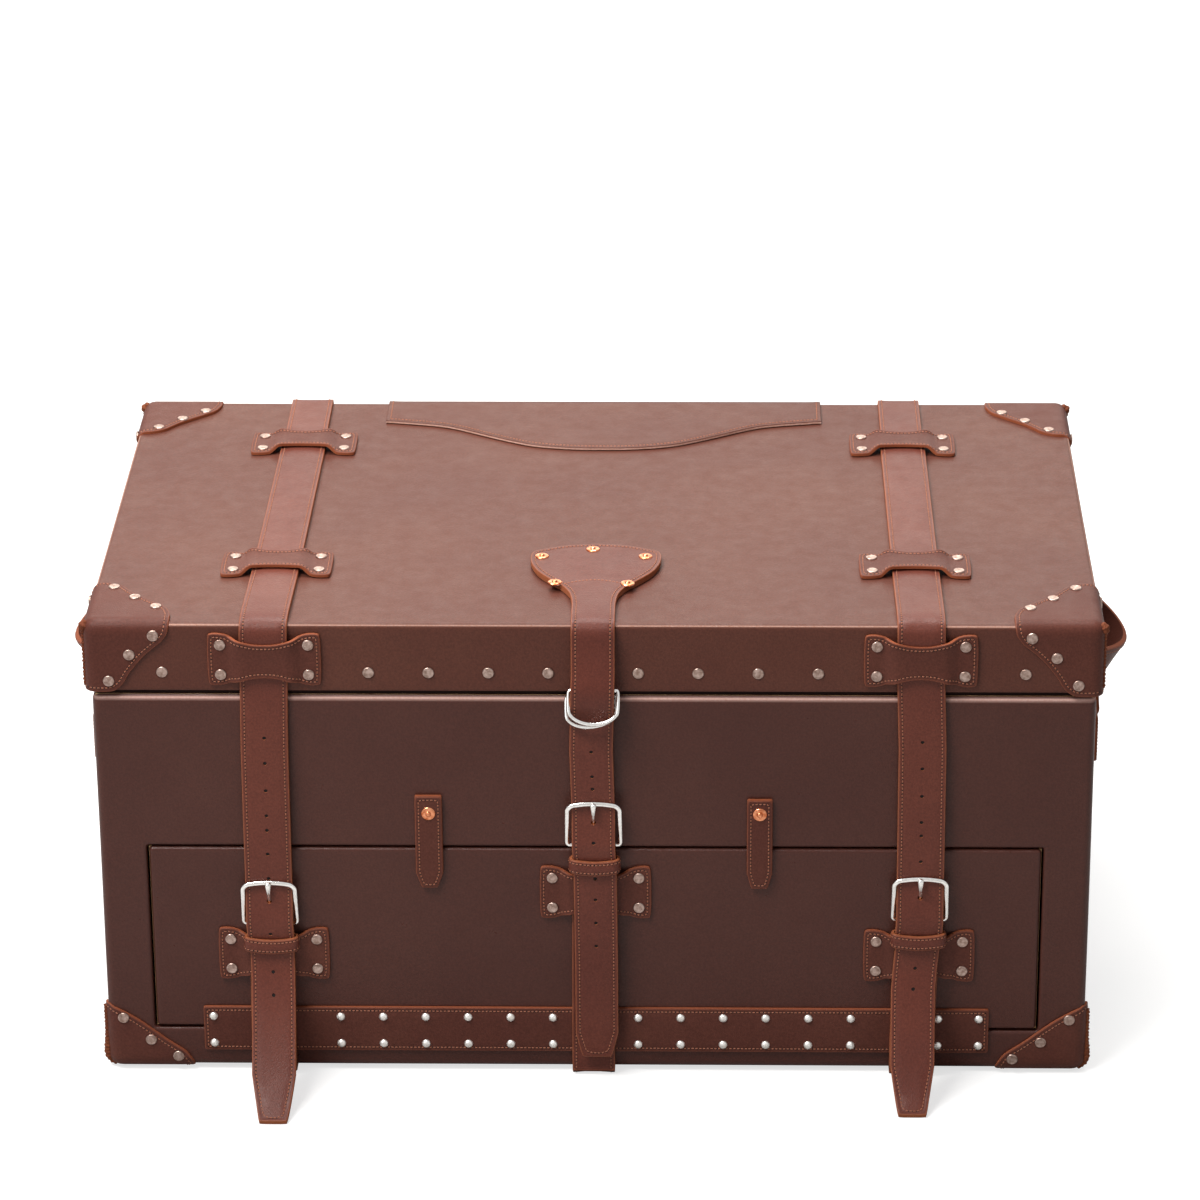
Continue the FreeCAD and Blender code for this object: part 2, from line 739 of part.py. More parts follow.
# Rivets on the lid, the case and the panel
rivets = []
for x in [-lid_rivet_x] + [share * strap_x for share in lid_rivet_shares] + [lid_rivet_x]:
    at = V(x, yf, top_z + lid_rivet_rise)
    rivets.append(cap("front", at, rivet_r, rivet_h))
for x in (-strap_x, strap_x):
    for y in (top_keeper_rear, top_keeper_front):
        for a, b in keeper_points(x, y):
            rivets.append(cap("top", V(a, b, lid_top + keeper_t), rivet_r, rivet_h))
    for a, b in keeper_points(x, top_z + lid_keeper_rise):
        rivets.append(cap("front", V(a, yf - keeper_t, b), rivet_r, rivet_h))
half_y = depth / 2
for sx, end in ((-1, "left"), (1, "right")):
    for p, q in corner_rivet_shares:
        spot = (sx * (xl - patch_a * p), lid_top - patch_b * q)
        rivets.append(cap("front", V(spot[0], yf - patch_t, spot[1]), rivet_r, rivet_h))
        rivets.append(cap("back", V(spot[0], yb + patch_t, spot[1]), rivet_r, rivet_h))
        for sy in (-1, 1):
            at = V(sx * (xl - patch_a * p), sy * (half_y - patch_side * q), lid_top + patch_t)
            rivets.append(cap("top", at, rivet_r, rivet_h))
            at = V(sx * (xl + patch_t), sy * (half_y - patch_side * p), lid_top - patch_b * q)
            rivets.append(cap(end, at, rivet_r, rivet_h))
for a, b in burr_shares:
    at = V(shield_half * a, shield_top + (shield_neck - shield_top) * b, lid_top + seat + shield_t)
    rivets.append(cap("top", at, burr_r, burr_h))
nodes["lid_rivets"] = group(rivets)
fixings = nail_row(nail_row_low)
for sx, end in ((-1, "left"), (1, "right")):
    for p, q in case_rivet_shares:
        spot = (sx * (xc - patch_case_a * p), base_z + patch_case_b * q)
        fixings.append(cap("front", V(spot[0], yf - patch_t, spot[1]), rivet_r, rivet_h))
        fixings.append(cap("back", V(spot[0], yb + patch_t, spot[1]), rivet_r, rivet_h))
        for sy in (-1, 1):
            at = V(sx * (xc + patch_t), sy * (half_y - patch_case_b * p), base_z + patch_case_b * q)
            fixings.append(cap(end, at, rivet_r, rivet_h))
rivets = []
for x, up in spots:
    for a, b in keeper_points(x, base_z + up):
        rivets.append(cap("front", V(a, yf - keeper_t, b), rivet_r, rivet_h))
nodes["panel_rivets"] = group(rivets)

# Turn tabs on their pivots
for name, x in (("left", -tab_x), ("right", tab_x)):
    half = tab_w / 2
    low = base_z + tab_low
    high = base_z + tab_high
    slope = tab_w / 2
    outline = [(x - half, high), (x + half, high), (x + half, low + slope), (x + half * tab_tip_share, low)]
    outline += [(x - half * tab_tip_share, low), (x - half, low + slope)]
    tab = prism(outline, "xz", yf - seat - tab_t, yf - seat)
    pin_z = base_z + tab_pivot
    tab = tab.cut(Part.makeCylinder(tab_hole, tab_w, V(x, yf, pin_z), V(0, -1, 0)))
    nodes["tab_" + name] = tab
    pin = Part.makeCylinder(tab_hole - seat, 2 * seat + tab_t, V(x, yf, pin_z), V(0, -1, 0))
    head = cap("front", V(x, yf - 2 * seat - tab_t, pin_z), burr_r, burr_h)
    fixings.append(fuse([pin, head]))
nodes["case_fixings"] = group(fixings)

# End handles
zh = top_z - band_drop


def swell(share):
    return max(math.sin(math.pi * (share + 1) / 2), 0) ** swell_share


def section(side, share):
    bulge = swell(share)
    y = grip_half * share
    x = side * (xc + band_t + seat + grip_t / 2 + grip_out * bulge)
    z = zh + grip_lift * bulge
    turn = math.radians(grip_tilt * bulge)
    ahead = min(share + step_share, 1)
    behind = max(share - step_share, -1)
    rise = swell(ahead) - swell(behind)
    along = V(side * grip_out * rise, grip_half * (ahead - behind), 0).normalize()
    wide = V(side * math.sin(turn), 0, -math.cos(turn))
    wide = (wide - along * wide.dot(along)).normalize()
    thick = along.cross(wide).normalize()
    at = V(x, y, z)
    w = wide * (grip_w / 2)
    t = thick * (grip_t / 2)
    ring = [at - w - t, at + w - t, at + w + t, at - w + t, at - w - t]
    return Part.makePolygon(ring)


for name, side in (("left", -1), ("right", 1)):
    wires = [section(side, s) for s in grip_shares]
    nodes["handle_" + name + "_grip"] = Part.makeLoft(wires, True, False)
    x0, x1 = sorted((side * xc, side * (xc + band_t)))
    pieces = [box(x0, x1, -band_half, band_half, zh - band_w / 2, zh + band_w / 2)]
    tie = bow_tie(grip_w, grip_t + 2 * seat)
    for way in (-1, 1):
        y0, y1 = sorted((way * grip_half, way * (grip_half + grip_in)))
        g0, g1 = sorted((side * (xc + band_t), side * (xc + band_t + grip_t)))
        pieces.append(box(g0, g1, y0, y1, zh - grip_w / 2, zh + grip_w / 2))
        at = V(side * (xc + band_t), way * (grip_half + keeper_h / 2 + band_t), zh)
        pieces.append(place(tie, name, at))
    nodes["handle_" + name + "_base"] = group(pieces)

os.makedirs(PARTS, exist_ok=True)
for name, shape in nodes.items():
    shape.exportStep(os.path.join(PARTS, name + ".step"))
    b = shape.BoundBox
    spans = [round(v, 1) for v in (b.XMin, b.YMin, b.ZMin, b.XMax, b.YMax, b.ZMax)]
    print(name, shape.isValid(), round(shape.Volume), spans)
print(len(nodes), "nodes")
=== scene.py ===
import math

import bpy
import numpy as np
from mathutils import Matrix, Vector
from mathutils.geometry import delaunay_2d_cdt


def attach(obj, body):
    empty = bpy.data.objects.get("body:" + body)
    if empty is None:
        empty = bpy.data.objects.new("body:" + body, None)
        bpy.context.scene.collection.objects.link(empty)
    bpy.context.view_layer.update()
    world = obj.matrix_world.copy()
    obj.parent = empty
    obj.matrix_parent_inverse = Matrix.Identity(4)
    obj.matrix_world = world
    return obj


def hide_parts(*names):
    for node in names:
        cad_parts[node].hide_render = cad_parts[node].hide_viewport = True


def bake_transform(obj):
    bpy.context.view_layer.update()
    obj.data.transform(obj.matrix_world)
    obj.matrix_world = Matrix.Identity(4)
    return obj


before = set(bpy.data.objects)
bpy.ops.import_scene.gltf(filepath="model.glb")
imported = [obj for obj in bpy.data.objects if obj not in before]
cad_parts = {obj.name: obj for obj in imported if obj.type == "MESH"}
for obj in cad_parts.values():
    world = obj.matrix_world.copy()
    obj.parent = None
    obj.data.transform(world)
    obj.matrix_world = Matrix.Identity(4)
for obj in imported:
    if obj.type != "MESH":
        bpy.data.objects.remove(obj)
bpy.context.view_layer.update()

# Sizes of the trunk in millimetres, as in the solids: foot of the case, front and back, half lengths of
# case and lid, rim of the case, lower edge and top of the lid, and where the side straps run
MM = 0.001
BASE = 4.3
YF, YB = -263.0, 263.0
XC, XL = 437.0, 440.0
TOP = 371.8
LID = 375.8
CROWN = 439.3
STRAP_X = 284.5
# Heights of the heel bars, and widths of the straps on the front and of the side straps elsewhere
HEEL = {"left": 152.3, "right": 158.3, "centre": 230.8}
WIDE = {"left": 41.5, "right": 41.5, "centre": 38.0}
SLIM = 39.0
# Thickness of a strap, from a face to the middle of the strap on it, the middle of a free end in y, and
# the thickness of a keeper
STRAP_T = 4.0
REST = 2.3
TAIL_Y = -275.6
KEEPER_T = 3.0
# Pitch of the stitches, rounding of the lid's edges, and how far a handle's loop stands out
PITCH = 3.4
EDGE = 4.5
BOW = 27.0
# Value of the rim attribute away from any cut edge
FAR = 12.0
# The middle of each strap in x: at its rear keeper, fore keeper, lid keeper and panel keeper
KEEPER_X = {"left": (-280.5, -283.0, -285.0, -285.5), "right": (281.6, 282.7, 283.8, 287.5)}
# at its buckle, at its loop and at its foot
BUCKLE_X = {"left": -287.5, "right": 287.0, "centre": -0.4}
LOOP_X = {"left": -286.6, "right": 286.2, "centre": 0.4}
FOOT_X = {"left": -288.3, "right": 282.5, "centre": -1.8}


# Materials
def linear(code):
    """A colour given as a hex code, as linear values."""
    out = []
    for i in (0, 2, 4):
        c = int(code[i:i + 2], 16) / 255
        out.append(c / 12.92 if c <= 0.04045 else ((c + 0.055) / 1.055) ** 2.4)
    return (*out, 1.0)


def node(tree, kind, sockets=(), **props):
    """Adds one node. sockets pairs an input with a value or with the output that feeds it."""
    n = tree.nodes.new("ShaderNode" + kind)
    for key, value in props.items():
        setattr(n, key, value)
    for key, value in dict(sockets).items():
        if isinstance(value, bpy.types.NodeSocket):
            tree.links.new(value, n.inputs[key])
        else:
            n.inputs[key].default_value = value
    return n


def blank(name):
    """A new material and its emptied node tree."""
    m = bpy.data.materials.new(name)
    m.use_nodes = True
    m.node_tree.nodes.clear()
    return m, m.node_tree


def surface(name):
    """A new material, its tree and its object coordinates."""
    m, t = blank(name)
    return m, t, node(t, "TexCoord").outputs["Object"]


def ramp(t, value, low, high, a=0.0, b=1.0):
    """Carries low to high of a value in a straight line to a and b, and holds it there."""
    return node(t, "MapRange", {"Value": value, 1: low, 2: high, 3: a, 4: b}, clamp=True).outputs[0]


def blend_colour(t, share, a, b):
    """Colour a with a share of colour b mixed in."""
    return node(t, "Mix", {0: share, 6: a, 7: b}, data_type="RGBA").outputs[2]


def finish_material(m, t, **sockets):
    """Feeds a principled shader from the sockets named and joins it to the output."""
    shader = node(t, "BsdfPrincipled", {k.replace("_", " "): v for k, v in sockets.items()})
    node(t, "OutputMaterial", {"Surface": shader.outputs[0]})
    return m


def leather(name, base, light, edge, flesh_and_highlight, rough=0.5, grain=1.0, band=0.8, spec=0.3, wear=1.5):
    """Oiled cowhide: clouded colour, fine pores, edges worn lighter and fibrous cut sides. The same fibre
    colour also paints highlights on the lid's top edges and the case's rim.
    """
    m, t, co = surface(name)
    cloud = node(t, "TexNoise", {"Vector": co, "Scale": 6.0, "Detail": 4.0, "Roughness": 0.6}).outputs[0]
    mottle = node(t, "TexNoise", {"Vector": co, "Scale": 55.0, "Detail": 6.0, "Roughness": 0.7}).outputs[0]
    fine = node(t, "TexNoise", {"Vector": co, "Scale": 520.0, "Detail": 3.0}).outputs[0]
    pores = node(t, "TexVoronoi", {"Vector": co, "Scale": 780.0}).outputs["Distance"]
    rim = node(t, "Attribute", attribute_name="rim").outputs["Fac"]
    raw_and_highlight = node(t, "Attribute", attribute_name="raw_and_highlight").outputs["Fac"]
    tone = blend_colour(t, ramp(t, cloud, 0.32, 0.68), linear(base), linear(light))
    tone = blend_colour(t, ramp(t, mottle, 0.35, 0.75, 0.0, 0.3), tone, linear(base))
    tone = blend_colour(t, ramp(t, fine, 0.3, 0.7, 0.0, 0.26), tone, (0.0, 0.0, 0.0, 1.0))
    worn = node(t, "Math", {0: ramp(t, rim, 0.35 * wear, wear, band, 0.0),
                            1: ramp(t, mottle, 0.2, 0.7, 0.55, 1.15)},
                operation="MULTIPLY").outputs[0]
    tone = blend_colour(t, worn, tone, linear(edge))
    fibre_and_highlight = blend_colour(t, ramp(t, fine, 0.3, 0.7), linear(flesh_and_highlight), linear(edge))
    # cut sides take the fibre colour; on the lid's top edges and the case's rim this mix is a painted
    # highlight
    tone = blend_colour(t, raw_and_highlight, tone, fibre_and_highlight)
    gloss = node(t, "Math", {0: ramp(t, mottle, 0.3, 0.7, rough - 0.07, rough + 0.08), 1: raw_and_highlight},
                 operation="ADD", use_clamp=True).outputs[0]
    rough_skin = node(t, "Math", {0: ramp(t, pores, 0.0, 0.6), 1: ramp(t, fine, 0.2, 0.8, 0.0, 0.7)},
                      operation="ADD").outputs[0]
    bump = node(t, "Bump", {"Height": rough_skin, "Strength": 0.35 * grain, "Distance": 0.0003}).outputs[0]
    return finish_material(m, t, Base_Color=tone, Roughness=gloss, Normal=bump, IOR=1.4,
                           Specular_IOR_Level=spec)


def metal(name, low, high, rough, bump):
    """Cast or stamped metal with tarnish in clouds and small dents."""
    m, t, co = surface(name)
    cloud = node(t, "TexNoise", {"Vector": co, "Scale": 300.0, "Detail": 4.0}).outputs[0]
    tone = blend_colour(t, ramp(t, cloud, 0.35, 0.65), linear(low), linear(high))
    gloss = ramp(t, cloud, 0.3, 0.7, rough + 0.08, rough)
    dents = node(t, "Bump", {"Height": cloud, "Strength": bump, "Distance": 0.0002}).outputs[0]
    return finish_material(m, t, Base_Color=tone, Metallic=1.0, Roughness=gloss, Normal=dents)


def wood(name):
    """Planed birch board: long rings, fine pores along the grain."""
    m, t, co = surface(name)
    long = node(t, "Mapping", {"Vector": co, "Scale": (3.0, 22.0, 22.0)}).outputs[0]
    rings = node(t, "TexWave", {"Vector": long, "Scale": 1.6, "Distortion": 7.0, "Detail": 3.0}).outputs[1]
    pores = node(t, "TexNoise", {"Vector": long, "Scale": 30.0, "Detail": 4.0}).outputs[0]
    tone = blend_colour(t, ramp(t, rings, 0.0, 1.0), linear("b08a5c"), linear("c9a878"))
    tone = blend_colour(t, ramp(t, pores, 0.5, 0.75, 0.0, 0.35), tone, linear("7d5a38"))
    bump = node(t, "Bump", {"Height": pores, "Strength": 0.2, "Distance": 0.0003}).outputs[0]
    return finish_material(m, t, Base_Color=tone, Roughness=0.6, Normal=bump)


def cloth(name):
    """Plain woven cotton lining, threads 0.7 mm apart."""
    m, t, co = surface(name)
    cloud = node(t, "TexNoise", {"Vector": co, "Scale": 14.0, "Detail": 4.0}).outputs[0]
    rows = [node(t, "TexWave", {"Vector": co, "Scale": 220.0},
                 bands_direction=axis).outputs[1] for axis in "XYZ"]
    weave = node(t, "Math", {0: rows[0], 1: rows[1]}, operation="ADD").outputs[0]
    weave = node(t, "Math", {0: weave, 1: rows[2]}, operation="ADD").outputs[0]
    tone = blend_colour(t, ramp(t, cloud, 0.3, 0.7), linear("a8977c"), linear("bfae92"))
    bump = node(t, "Bump", {"Height": weave, "Strength": 0.3, "Distance": 0.0003}).outputs[0]
    return finish_material(m, t, Base_Color=tone, Roughness=0.9, Normal=bump)


def plain(name, code, rough):
    """Waxed thread, and the painted shade of a hole: colour broken up by a fine noise."""
    m, t, co = surface(name)
    fine = node(t, "TexNoise", {"Vector": co, "Scale": 900.0, "Detail": 2.0}).outputs[0]
    tone = blend_colour(t, ramp(t, fine, 0.3, 0.7, 0.0, 0.4), linear(code), (0.0, 0.0, 0.0, 1.0))
    return finish_material(m, t, Base_Color=tone, Roughness=rough)


# Body leather of the case, dark and oiled; its pale edge and flesh colours paint the highlight along the
# case's rim
CASE = leather("leather_case", "49261f", "502c24", "dcb6ac", "cda296", rough=0.34, band=0.0, spec=0.36)
# Lid leather, the same hide; its pale edge and flesh colours paint the highlight along the lid's top edges,
# and colour the cut sides of the hinge flap
TOPHIDE = leather("leather_lid", "552d23", "5d3529", "d8b0a2", "c0937f", rough=0.47, band=0.0, spec=0.3)
# Strap leather, a little redder, with burnished orange edges
STRAP = leather("leather_strap", "5b2d24", "6a372b", "9c5a3a", "8f5030", rough=0.4, band=0.55, spec=0.29,
                wear=1.4)
# Keepers, patches and strips, dark face with orange cut sides
PATCH = leather("leather_patch", "552e26", "60372d", "8c4e36", "8a4a2e", rough=0.44, band=0.5, spec=0.17,
                wear=1.3)
# Raw butt seams of the corner patches, puckered and fibrous
RAW = leather("leather_raw_seam", "6a3826", "844a30", "a8653f", "8a4a2c", rough=0.75, grain=2.5, band=0.0,
              spec=0.15)
# Welt under the lid, coloured near black to paint the shade in the gap between lid and case
WELT_SHADE = leather("welt_painted_shade", "1d100d", "251511", "2a1814", "2a1814", rough=0.7, band=0.0, spec=0.1)
# Nickel plate of buckles and rings
NICKEL = metal("nickel", "ece9e4", "fbfaf8", 0.12, bump=0.0)
# Copper of the shield's and the tabs' rivets
COPPER = metal("copper", "b8623a", "eea27a", 0.2, bump=0.05)
# Pewter-coloured nails of the hinge strip
PEWTER = metal("pewter_nail", "e6e1da", "fdfbf8", 0.36, bump=0.03)
# Antiqued metal of the cap rivets
CAPS = metal("antique_cap", "8c7368", "bda59b", 0.3, bump=0.03)
# Waxed thread of the stitches
THREAD = plain("thread", "9a5b3f", 0.6)
# Near black, painted shade: the floors of pits and the flat discs at each stitch end stand in for the shade
# inside holes
HOLE_SHADE = plain("hole", "120a08", 0.9)
# Birch of the boards
WOOD = wood("birch_board")
# Cotton of the linings
LINING = cloth("cotton_lining")


# Mesh tools
def make(name, verts, faces, mats, rides=None, which=None, rim=None, raw_and_highlight=None, slot=None):
    """Builds one object from points in millimetres, with its face materials and edge attributes."""
    mesh = bpy.data.meshes.new(name)
    verts = np.asarray(verts, float) * MM
    mesh.from_pydata(verts.tolist(), [], [list(f) for f in faces])
    for m in mats:
        mesh.materials.append(m)
    if which is not None:
        mesh.polygons.foreach_set("material_index", np.asarray(which, np.int32))
    mesh.polygons.foreach_set("use_smooth", np.full(len(mesh.polygons), True))
    for key, values, rest in (("rim", rim, FAR), ("raw_and_highlight", raw_and_highlight, 0.0)):
        a = mesh.attributes.new(key, "FLOAT", "POINT")
        data = np.full(len(verts), rest) if values is None else np.asarray(values)
        a.data.foreach_set("value", data.astype(np.float32))
    mesh.update()
    obj = bpy.data.objects.new(name, mesh)
    bpy.context.scene.collection.objects.link(obj)
    if rides:
        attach(obj, rides)
    return obj


def curve(points, steps=6):
    """A smooth line through the points, after Catmull and Rom."""
    p = np.asarray(points, float)
    p = np.vstack([2 * p[0] - p[1], p, 2 * p[-1] - p[-2]])
    out = []
    for i in range(1, len(p) - 2):
        for t in np.arange(steps) / steps:
            a, b, c, d = p[i - 1], p[i], p[i + 1], p[i + 2]
            out.append((2 * b + (c - a) * t + (2 * a - 5 * b + 4 * c - d) * t ** 2
                        + (3 * b - a - 3 * c + d) * t ** 3) / 2)
    out.append(p[-2])
    return np.array(out)


def spaced(line, step, closed=False):
    """The line's own points with more between them, no further apart than step."""
    line = np.asarray(line, float)
    if closed:
        line = np.vstack([line, line[:1]])
    out = []
    for a, b in zip(line[:-1], line[1:]):
        n = max(1, int(math.ceil(np.linalg.norm(b - a) / step - 1e-6)))
        for k in range(n):
            out.append(a + (b - a) * k / n)
    if not closed:
        out.append(line[-1])
    return np.array(out)


def even(line, step):
    """Points at equal distances along a line, with the distance of each."""
    line = np.asarray(line, float)
    d = np.concatenate([[0], np.cumsum(np.linalg.norm(np.diff(line, axis=0), axis=1))])
    n = max(2, int(round(d[-1] / step)) + 1)
    s = np.linspace(0, d[-1], n)
    return np.stack([np.interp(s, d, line[:, k]) for k in range(line.shape[1])], 1), s


def away(points, a, b):
    """Distance from each point to the nearest of the segments from a to b."""
    best = np.full(len(points), 1e9)
    for i in range(0, len(points), 400):
        p = points[i:i + 400, None, :]
        ab = (b - a)[None]
        t = np.clip(((p - a[None]) * ab).sum(2) / np.maximum((ab ** 2).sum(2), 1e-9), 0, 1)
        best[i:i + 400] = np.sqrt(((p - a[None] - ab * t[..., None]) ** 2).sum(2)).min(1)
    return best


def inside(points, loop):
    """True for each point that the closed loop holds."""
    x, y = points[:, 0:1], points[:, 1:2]
    a, b = loop, np.roll(loop, -1, 0)
    cross = (a[None, :, 1] > y) != (b[None, :, 1] > y)
    run = np.where(b[:, 1] == a[:, 1], 1e-9, b[:, 1] - a[:, 1])
    at = a[None, :, 0] + (y - a[None, :, 1]) * (b - a)[None, :, 0] / run[None]
    return ((cross & (x < at)).sum(1) % 2) == 1


def inset(loop, gap, closed=True):
    """The loop moved to its left by gap, without the points that come too near to another side."""
    loop = np.asarray(loop, float)
    nxt = np.roll(loop, -1, 0) if closed else np.vstack([loop[1:], 2 * loop[-1] - loop[-2]])
    prv = np.roll(loop, 1, 0) if closed else np.vstack([2 * loop[0] - loop[1], loop[:-1]])
    d = nxt - prv
    d /= np.maximum(np.linalg.norm(d, axis=1), 1e-9)[:, None]
    moved = loop + gap * np.stack([-d[:, 1], d[:, 0]], 1)
    a, b = (loop, np.roll(loop, -1, 0)) if closed else (loop[:-1], loop[1:])
    return moved[away(moved, a, b) > gap * 0.93]


def fill(loop, holes, rings, grid, step):
    """Triangles inside a loop: rows of points that follow its edge, then an even grid."""
    loops = [spaced(loop, step, True)] + [np.asarray(h, float) for h in holes]
    verts, edges = [], []
    for one in loops:
        n = len(verts)
        verts += one.tolist()
        edges += [(n + i, n + (i + 1) % len(one)) for i in range(len(one))]
    a = np.vstack(loops)
    b = np.vstack([np.roll(one, -1, 0) for one in loops])
    extra = [inset(loops[0], gap) for gap in rings]
    low, high = loops[0].min(0), loops[0].max(0)
    gx = np.arange(low[0] + grid / 2, high[0], grid)
    gy = np.arange(low[1] + grid / 2, high[1], grid)
    spots = np.stack(np.meshgrid(gx, gy), -1).reshape(-1, 2)
    spots = spots[inside(spots, loops[0])]
    far = (rings[-1] if rings else 0) + grid * 0.35
    spots = spots[away(spots, a, b) > far] if len(spots) else spots
    extra = np.vstack(extra + [spots]) if len(spots) or extra else np.zeros((0, 2))
    for h in loops[1:]:
        extra = extra[~inside(extra, h)]
        extra = extra[away(extra, h, np.roll(h, -1, 0)) > 0.5]
    verts += extra.tolist()
    got = delaunay_2d_cdt([Vector(v) for v in verts], edges, [], 0, 1e-4)
    p = np.array([tuple(v) for v in got[0]])
    tris = np.array([f for f in got[2] if len(f) == 3])
    mid = p[tris].mean(1)
    keep = inside(mid, loops[0])
    for h in loops[1:]:
        keep &= ~inside(mid, h)
    return p, tris[keep], (a, b), loops


def stitch_mesh(points, normals):
    """Saddle stitches along a line on the surface: a row of short threads, each end on a flat dark disc that
    paints the shade of its hole.
    """
    d = np.concatenate([[0], np.cumsum(np.linalg.norm(np.diff(points, axis=0), axis=1))])
    thick, gap = 0.55, 0.24
    n = int(d[-1] / PITCH)
    if n < 1:
        return [], [], []
    s = np.linspace(0, d[-1], n + 1)

    def at(x):
        p = np.stack([np.interp(x, d, points[:, k]) for k in range(3)], 1)
        m = np.stack([np.interp(x, d, normals[:, k]) for k in range(3)], 1)
        return p, m / np.linalg.norm(m, axis=1)[:, None]

    verts, faces, which = [], [], []
    cut = (s[1] - s[0]) * gap / 2
    p0, n0 = at(s[:-1] + cut)
    p1, n1 = at(s[1:] - cut)
    for a, b, m in zip(p0, p1, (n0 + n1) / 2):
        along = (b - a) / max(np.linalg.norm(b - a), 1e-9)
        across = np.cross(along, m)
        across /= max(np.linalg.norm(across), 1e-9)
        k = len(verts)
        for f, r, lift in ((0.0, 0.35, -0.05), (0.25, 0.95, 0.12), (0.75, 0.95, 0.12), (1.0, 0.35, -0.05)):
            c = a + (b - a) * f + m * lift
            for g in (0.0, 60.0, 120.0, 180.0):
                g = math.radians(g)
                verts.append(c + (across * math.cos(g) + m * math.sin(g)) * thick * r)
        for i in range(3):
            for j in range(3):
                q = k + i * 4 + j
                faces.append((q, q + 1, q + 5, q + 4))
                which.append(1)
    # flat dark discs at each stitch end: painted shade of the stitch holes
    ph, mh = at(s)
    tangent = np.gradient(ph, axis=0)
    for c, m, t in zip(ph, mh, tangent):
        t = t / max(np.linalg.norm(t), 1e-9)
        w = np.cross(m, t)
        k = len(verts)
        for g in range(6):
            g = math.radians(60 * g)
            verts.append(c + m * 0.05 + (t * math.cos(g) * 0.8 + w * math.sin(g) * 0.9))
        faces.append(tuple(range(k, k + 6)))
        which.append(2)
    return verts, faces, which


def sheet_object(name, tris, pos, d, thick, mat, seams=(), ease=0.8, groove=(), back=True, floors=(),
                 lined=False, **how):
    """Turns a triangulated sheet into leather with a thickness. pos(h) gives all points at height h; d is
    each point's distance from the cut edge, which the eased shoulder and the stitch groove follow."""
    inner = np.clip(d, 0, ease)
    height = thick - ease + np.sqrt(np.maximum(ease ** 2 - (ease - inner) ** 2, 0))
    for g in groove:
        height = height - 0.22 * np.exp(-((d - g) / 0.55) ** 2)
    top = pos(height)
    up = pos(height + 1.0) - top
    a, b, c = (top[tris[:, k]] for k in range(3))
    if (np.cross(b - a, c - a) * up[tris[:, 0]]).sum() < 0:
        tris = tris[:, ::-1]
    n = len(top)
    low = pos(np.zeros(n))
    verts = [top, low]
    faces = [tuple(t) for t in tris]
    which = [0] * len(tris)
    if back:
        faces += [tuple(t[::-1] + n) for t in tris]
        which += [0] * len(tris)
    sides = {(int(t[i]), int(t[(i + 1) % 3])): 1 for t in tris for i in range(3)}
    border = [e for e in sides if (e[1], e[0]) not in sides]
    ends = sorted({v for e in border for v in e})
    index = {v: i for i, v in enumerate(ends)}
    ends = np.array(ends)
    k0 = 2 * n
    k1 = k0 + len(ends)
    k2 = k1 + len(ends)
    lip = pos(np.where(np.isin(np.arange(n), ends), thick - ease, height))[ends]
    verts += [top[ends], lip * 0.5 + low[ends] * 0.5, low[ends]]
    for x, y in border:
        i, j = index[x], index[y]
        faces += [(k0 + j, k0 + i, k1 + i, k1 + j), (k1 + j, k1 + i, k2 + i, k2 + j)]
        which += [0, 0]
    total = 2 * n + 3 * len(ends)
    rim = np.concatenate([np.clip(d, 0, FAR), np.full(n, FAR), np.zeros(3 * len(ends))])
    raw_and_highlight = np.concatenate([np.zeros(n), np.full(n, 0.0 if lined else 1.0),
                          np.full(3 * len(ends), 0.3 if lined else 1.0)])
    verts = list(np.vstack(verts))
    for v, f, w in [stitch_mesh(line, normal) for line, normal in seams] + list(floors):
        k = len(verts)
        verts += v
        faces += [tuple(i + k for i in g) for g in f]
        which += w
    extra = len(verts) - total
    rim = np.concatenate([rim, np.full(extra, FAR)])
    raw_and_highlight = np.concatenate([raw_and_highlight, np.zeros(extra)])
    return make(name, verts, faces, [mat, THREAD, HOLE_SHADE], which=which, rim=rim, raw_and_highlight=raw_and_highlight, **how)


def lay(place, line, h):
    """Points and normals of a line of the flat cut, laid on the surface at height h."""
    line = np.asarray(line, float)
    p = place(line[:, 0], line[:, 1], np.full(len(line), h))
    q = place(line[:, 0], line[:, 1], np.full(len(line), h + 1.0))
    return p, q - p


def hide(name, outline, place, thick, mat, holes=(), pits=(), seam=4.0, lines=None, free=None, grid=7.0,
         step=3.0, ease=0.8, **how):
    """A piece of leather cut to an outline and laid where place(u, v, h) puts it. free says which points
    of the flat cut lie on a hidden butt end, where the edge isn't eased. lines are the stitch lines; with
    None one runs all round, seam inside the edge. pits are holes with a near-black floor that paints
    their shade, holes go right through."""
    rings = [0.3 * ease, 0.65 * ease, 1.1 * ease, 2.2]
    if seam:
        rings += [seam - 0.6, seam, seam + 0.6]
    p, tris, _, loops = fill(outline, list(holes) + list(pits), rings, grid, step)
    a, b = loops[0], np.roll(loops[0], -1, 0)
    if free is not None:
        gone = free((a + b) / 2)
        a, b = a[~gone], b[~gone]
    d = away(p, a, b)

    def pos(h):
        return place(p[:, 0], p[:, 1], h)

    if lines is None:
        loop = inset(loops[0], seam)
        lines = [np.vstack([loop, loop[:1]])] if seam else []
    seams = [lay(place, spaced(line, 1.5), thick - 0.12) for line in lines]
    groove = [seam] if seam and len(lines) else []
    floors = []
    # each pit's floor is a flat disc in the near-black hole material, painted shade
    for pit in loops[len(loops) - len(pits):]:
        spot = place(pit[:, 0], pit[:, 1], np.full(len(pit), thick - 0.9))
        floors.append((list(spot), [tuple(range(len(spot)))], [2]))
    return sheet_object(name, tris, pos, d, thick, mat, seams, ease, groove, floors=floors, **how)


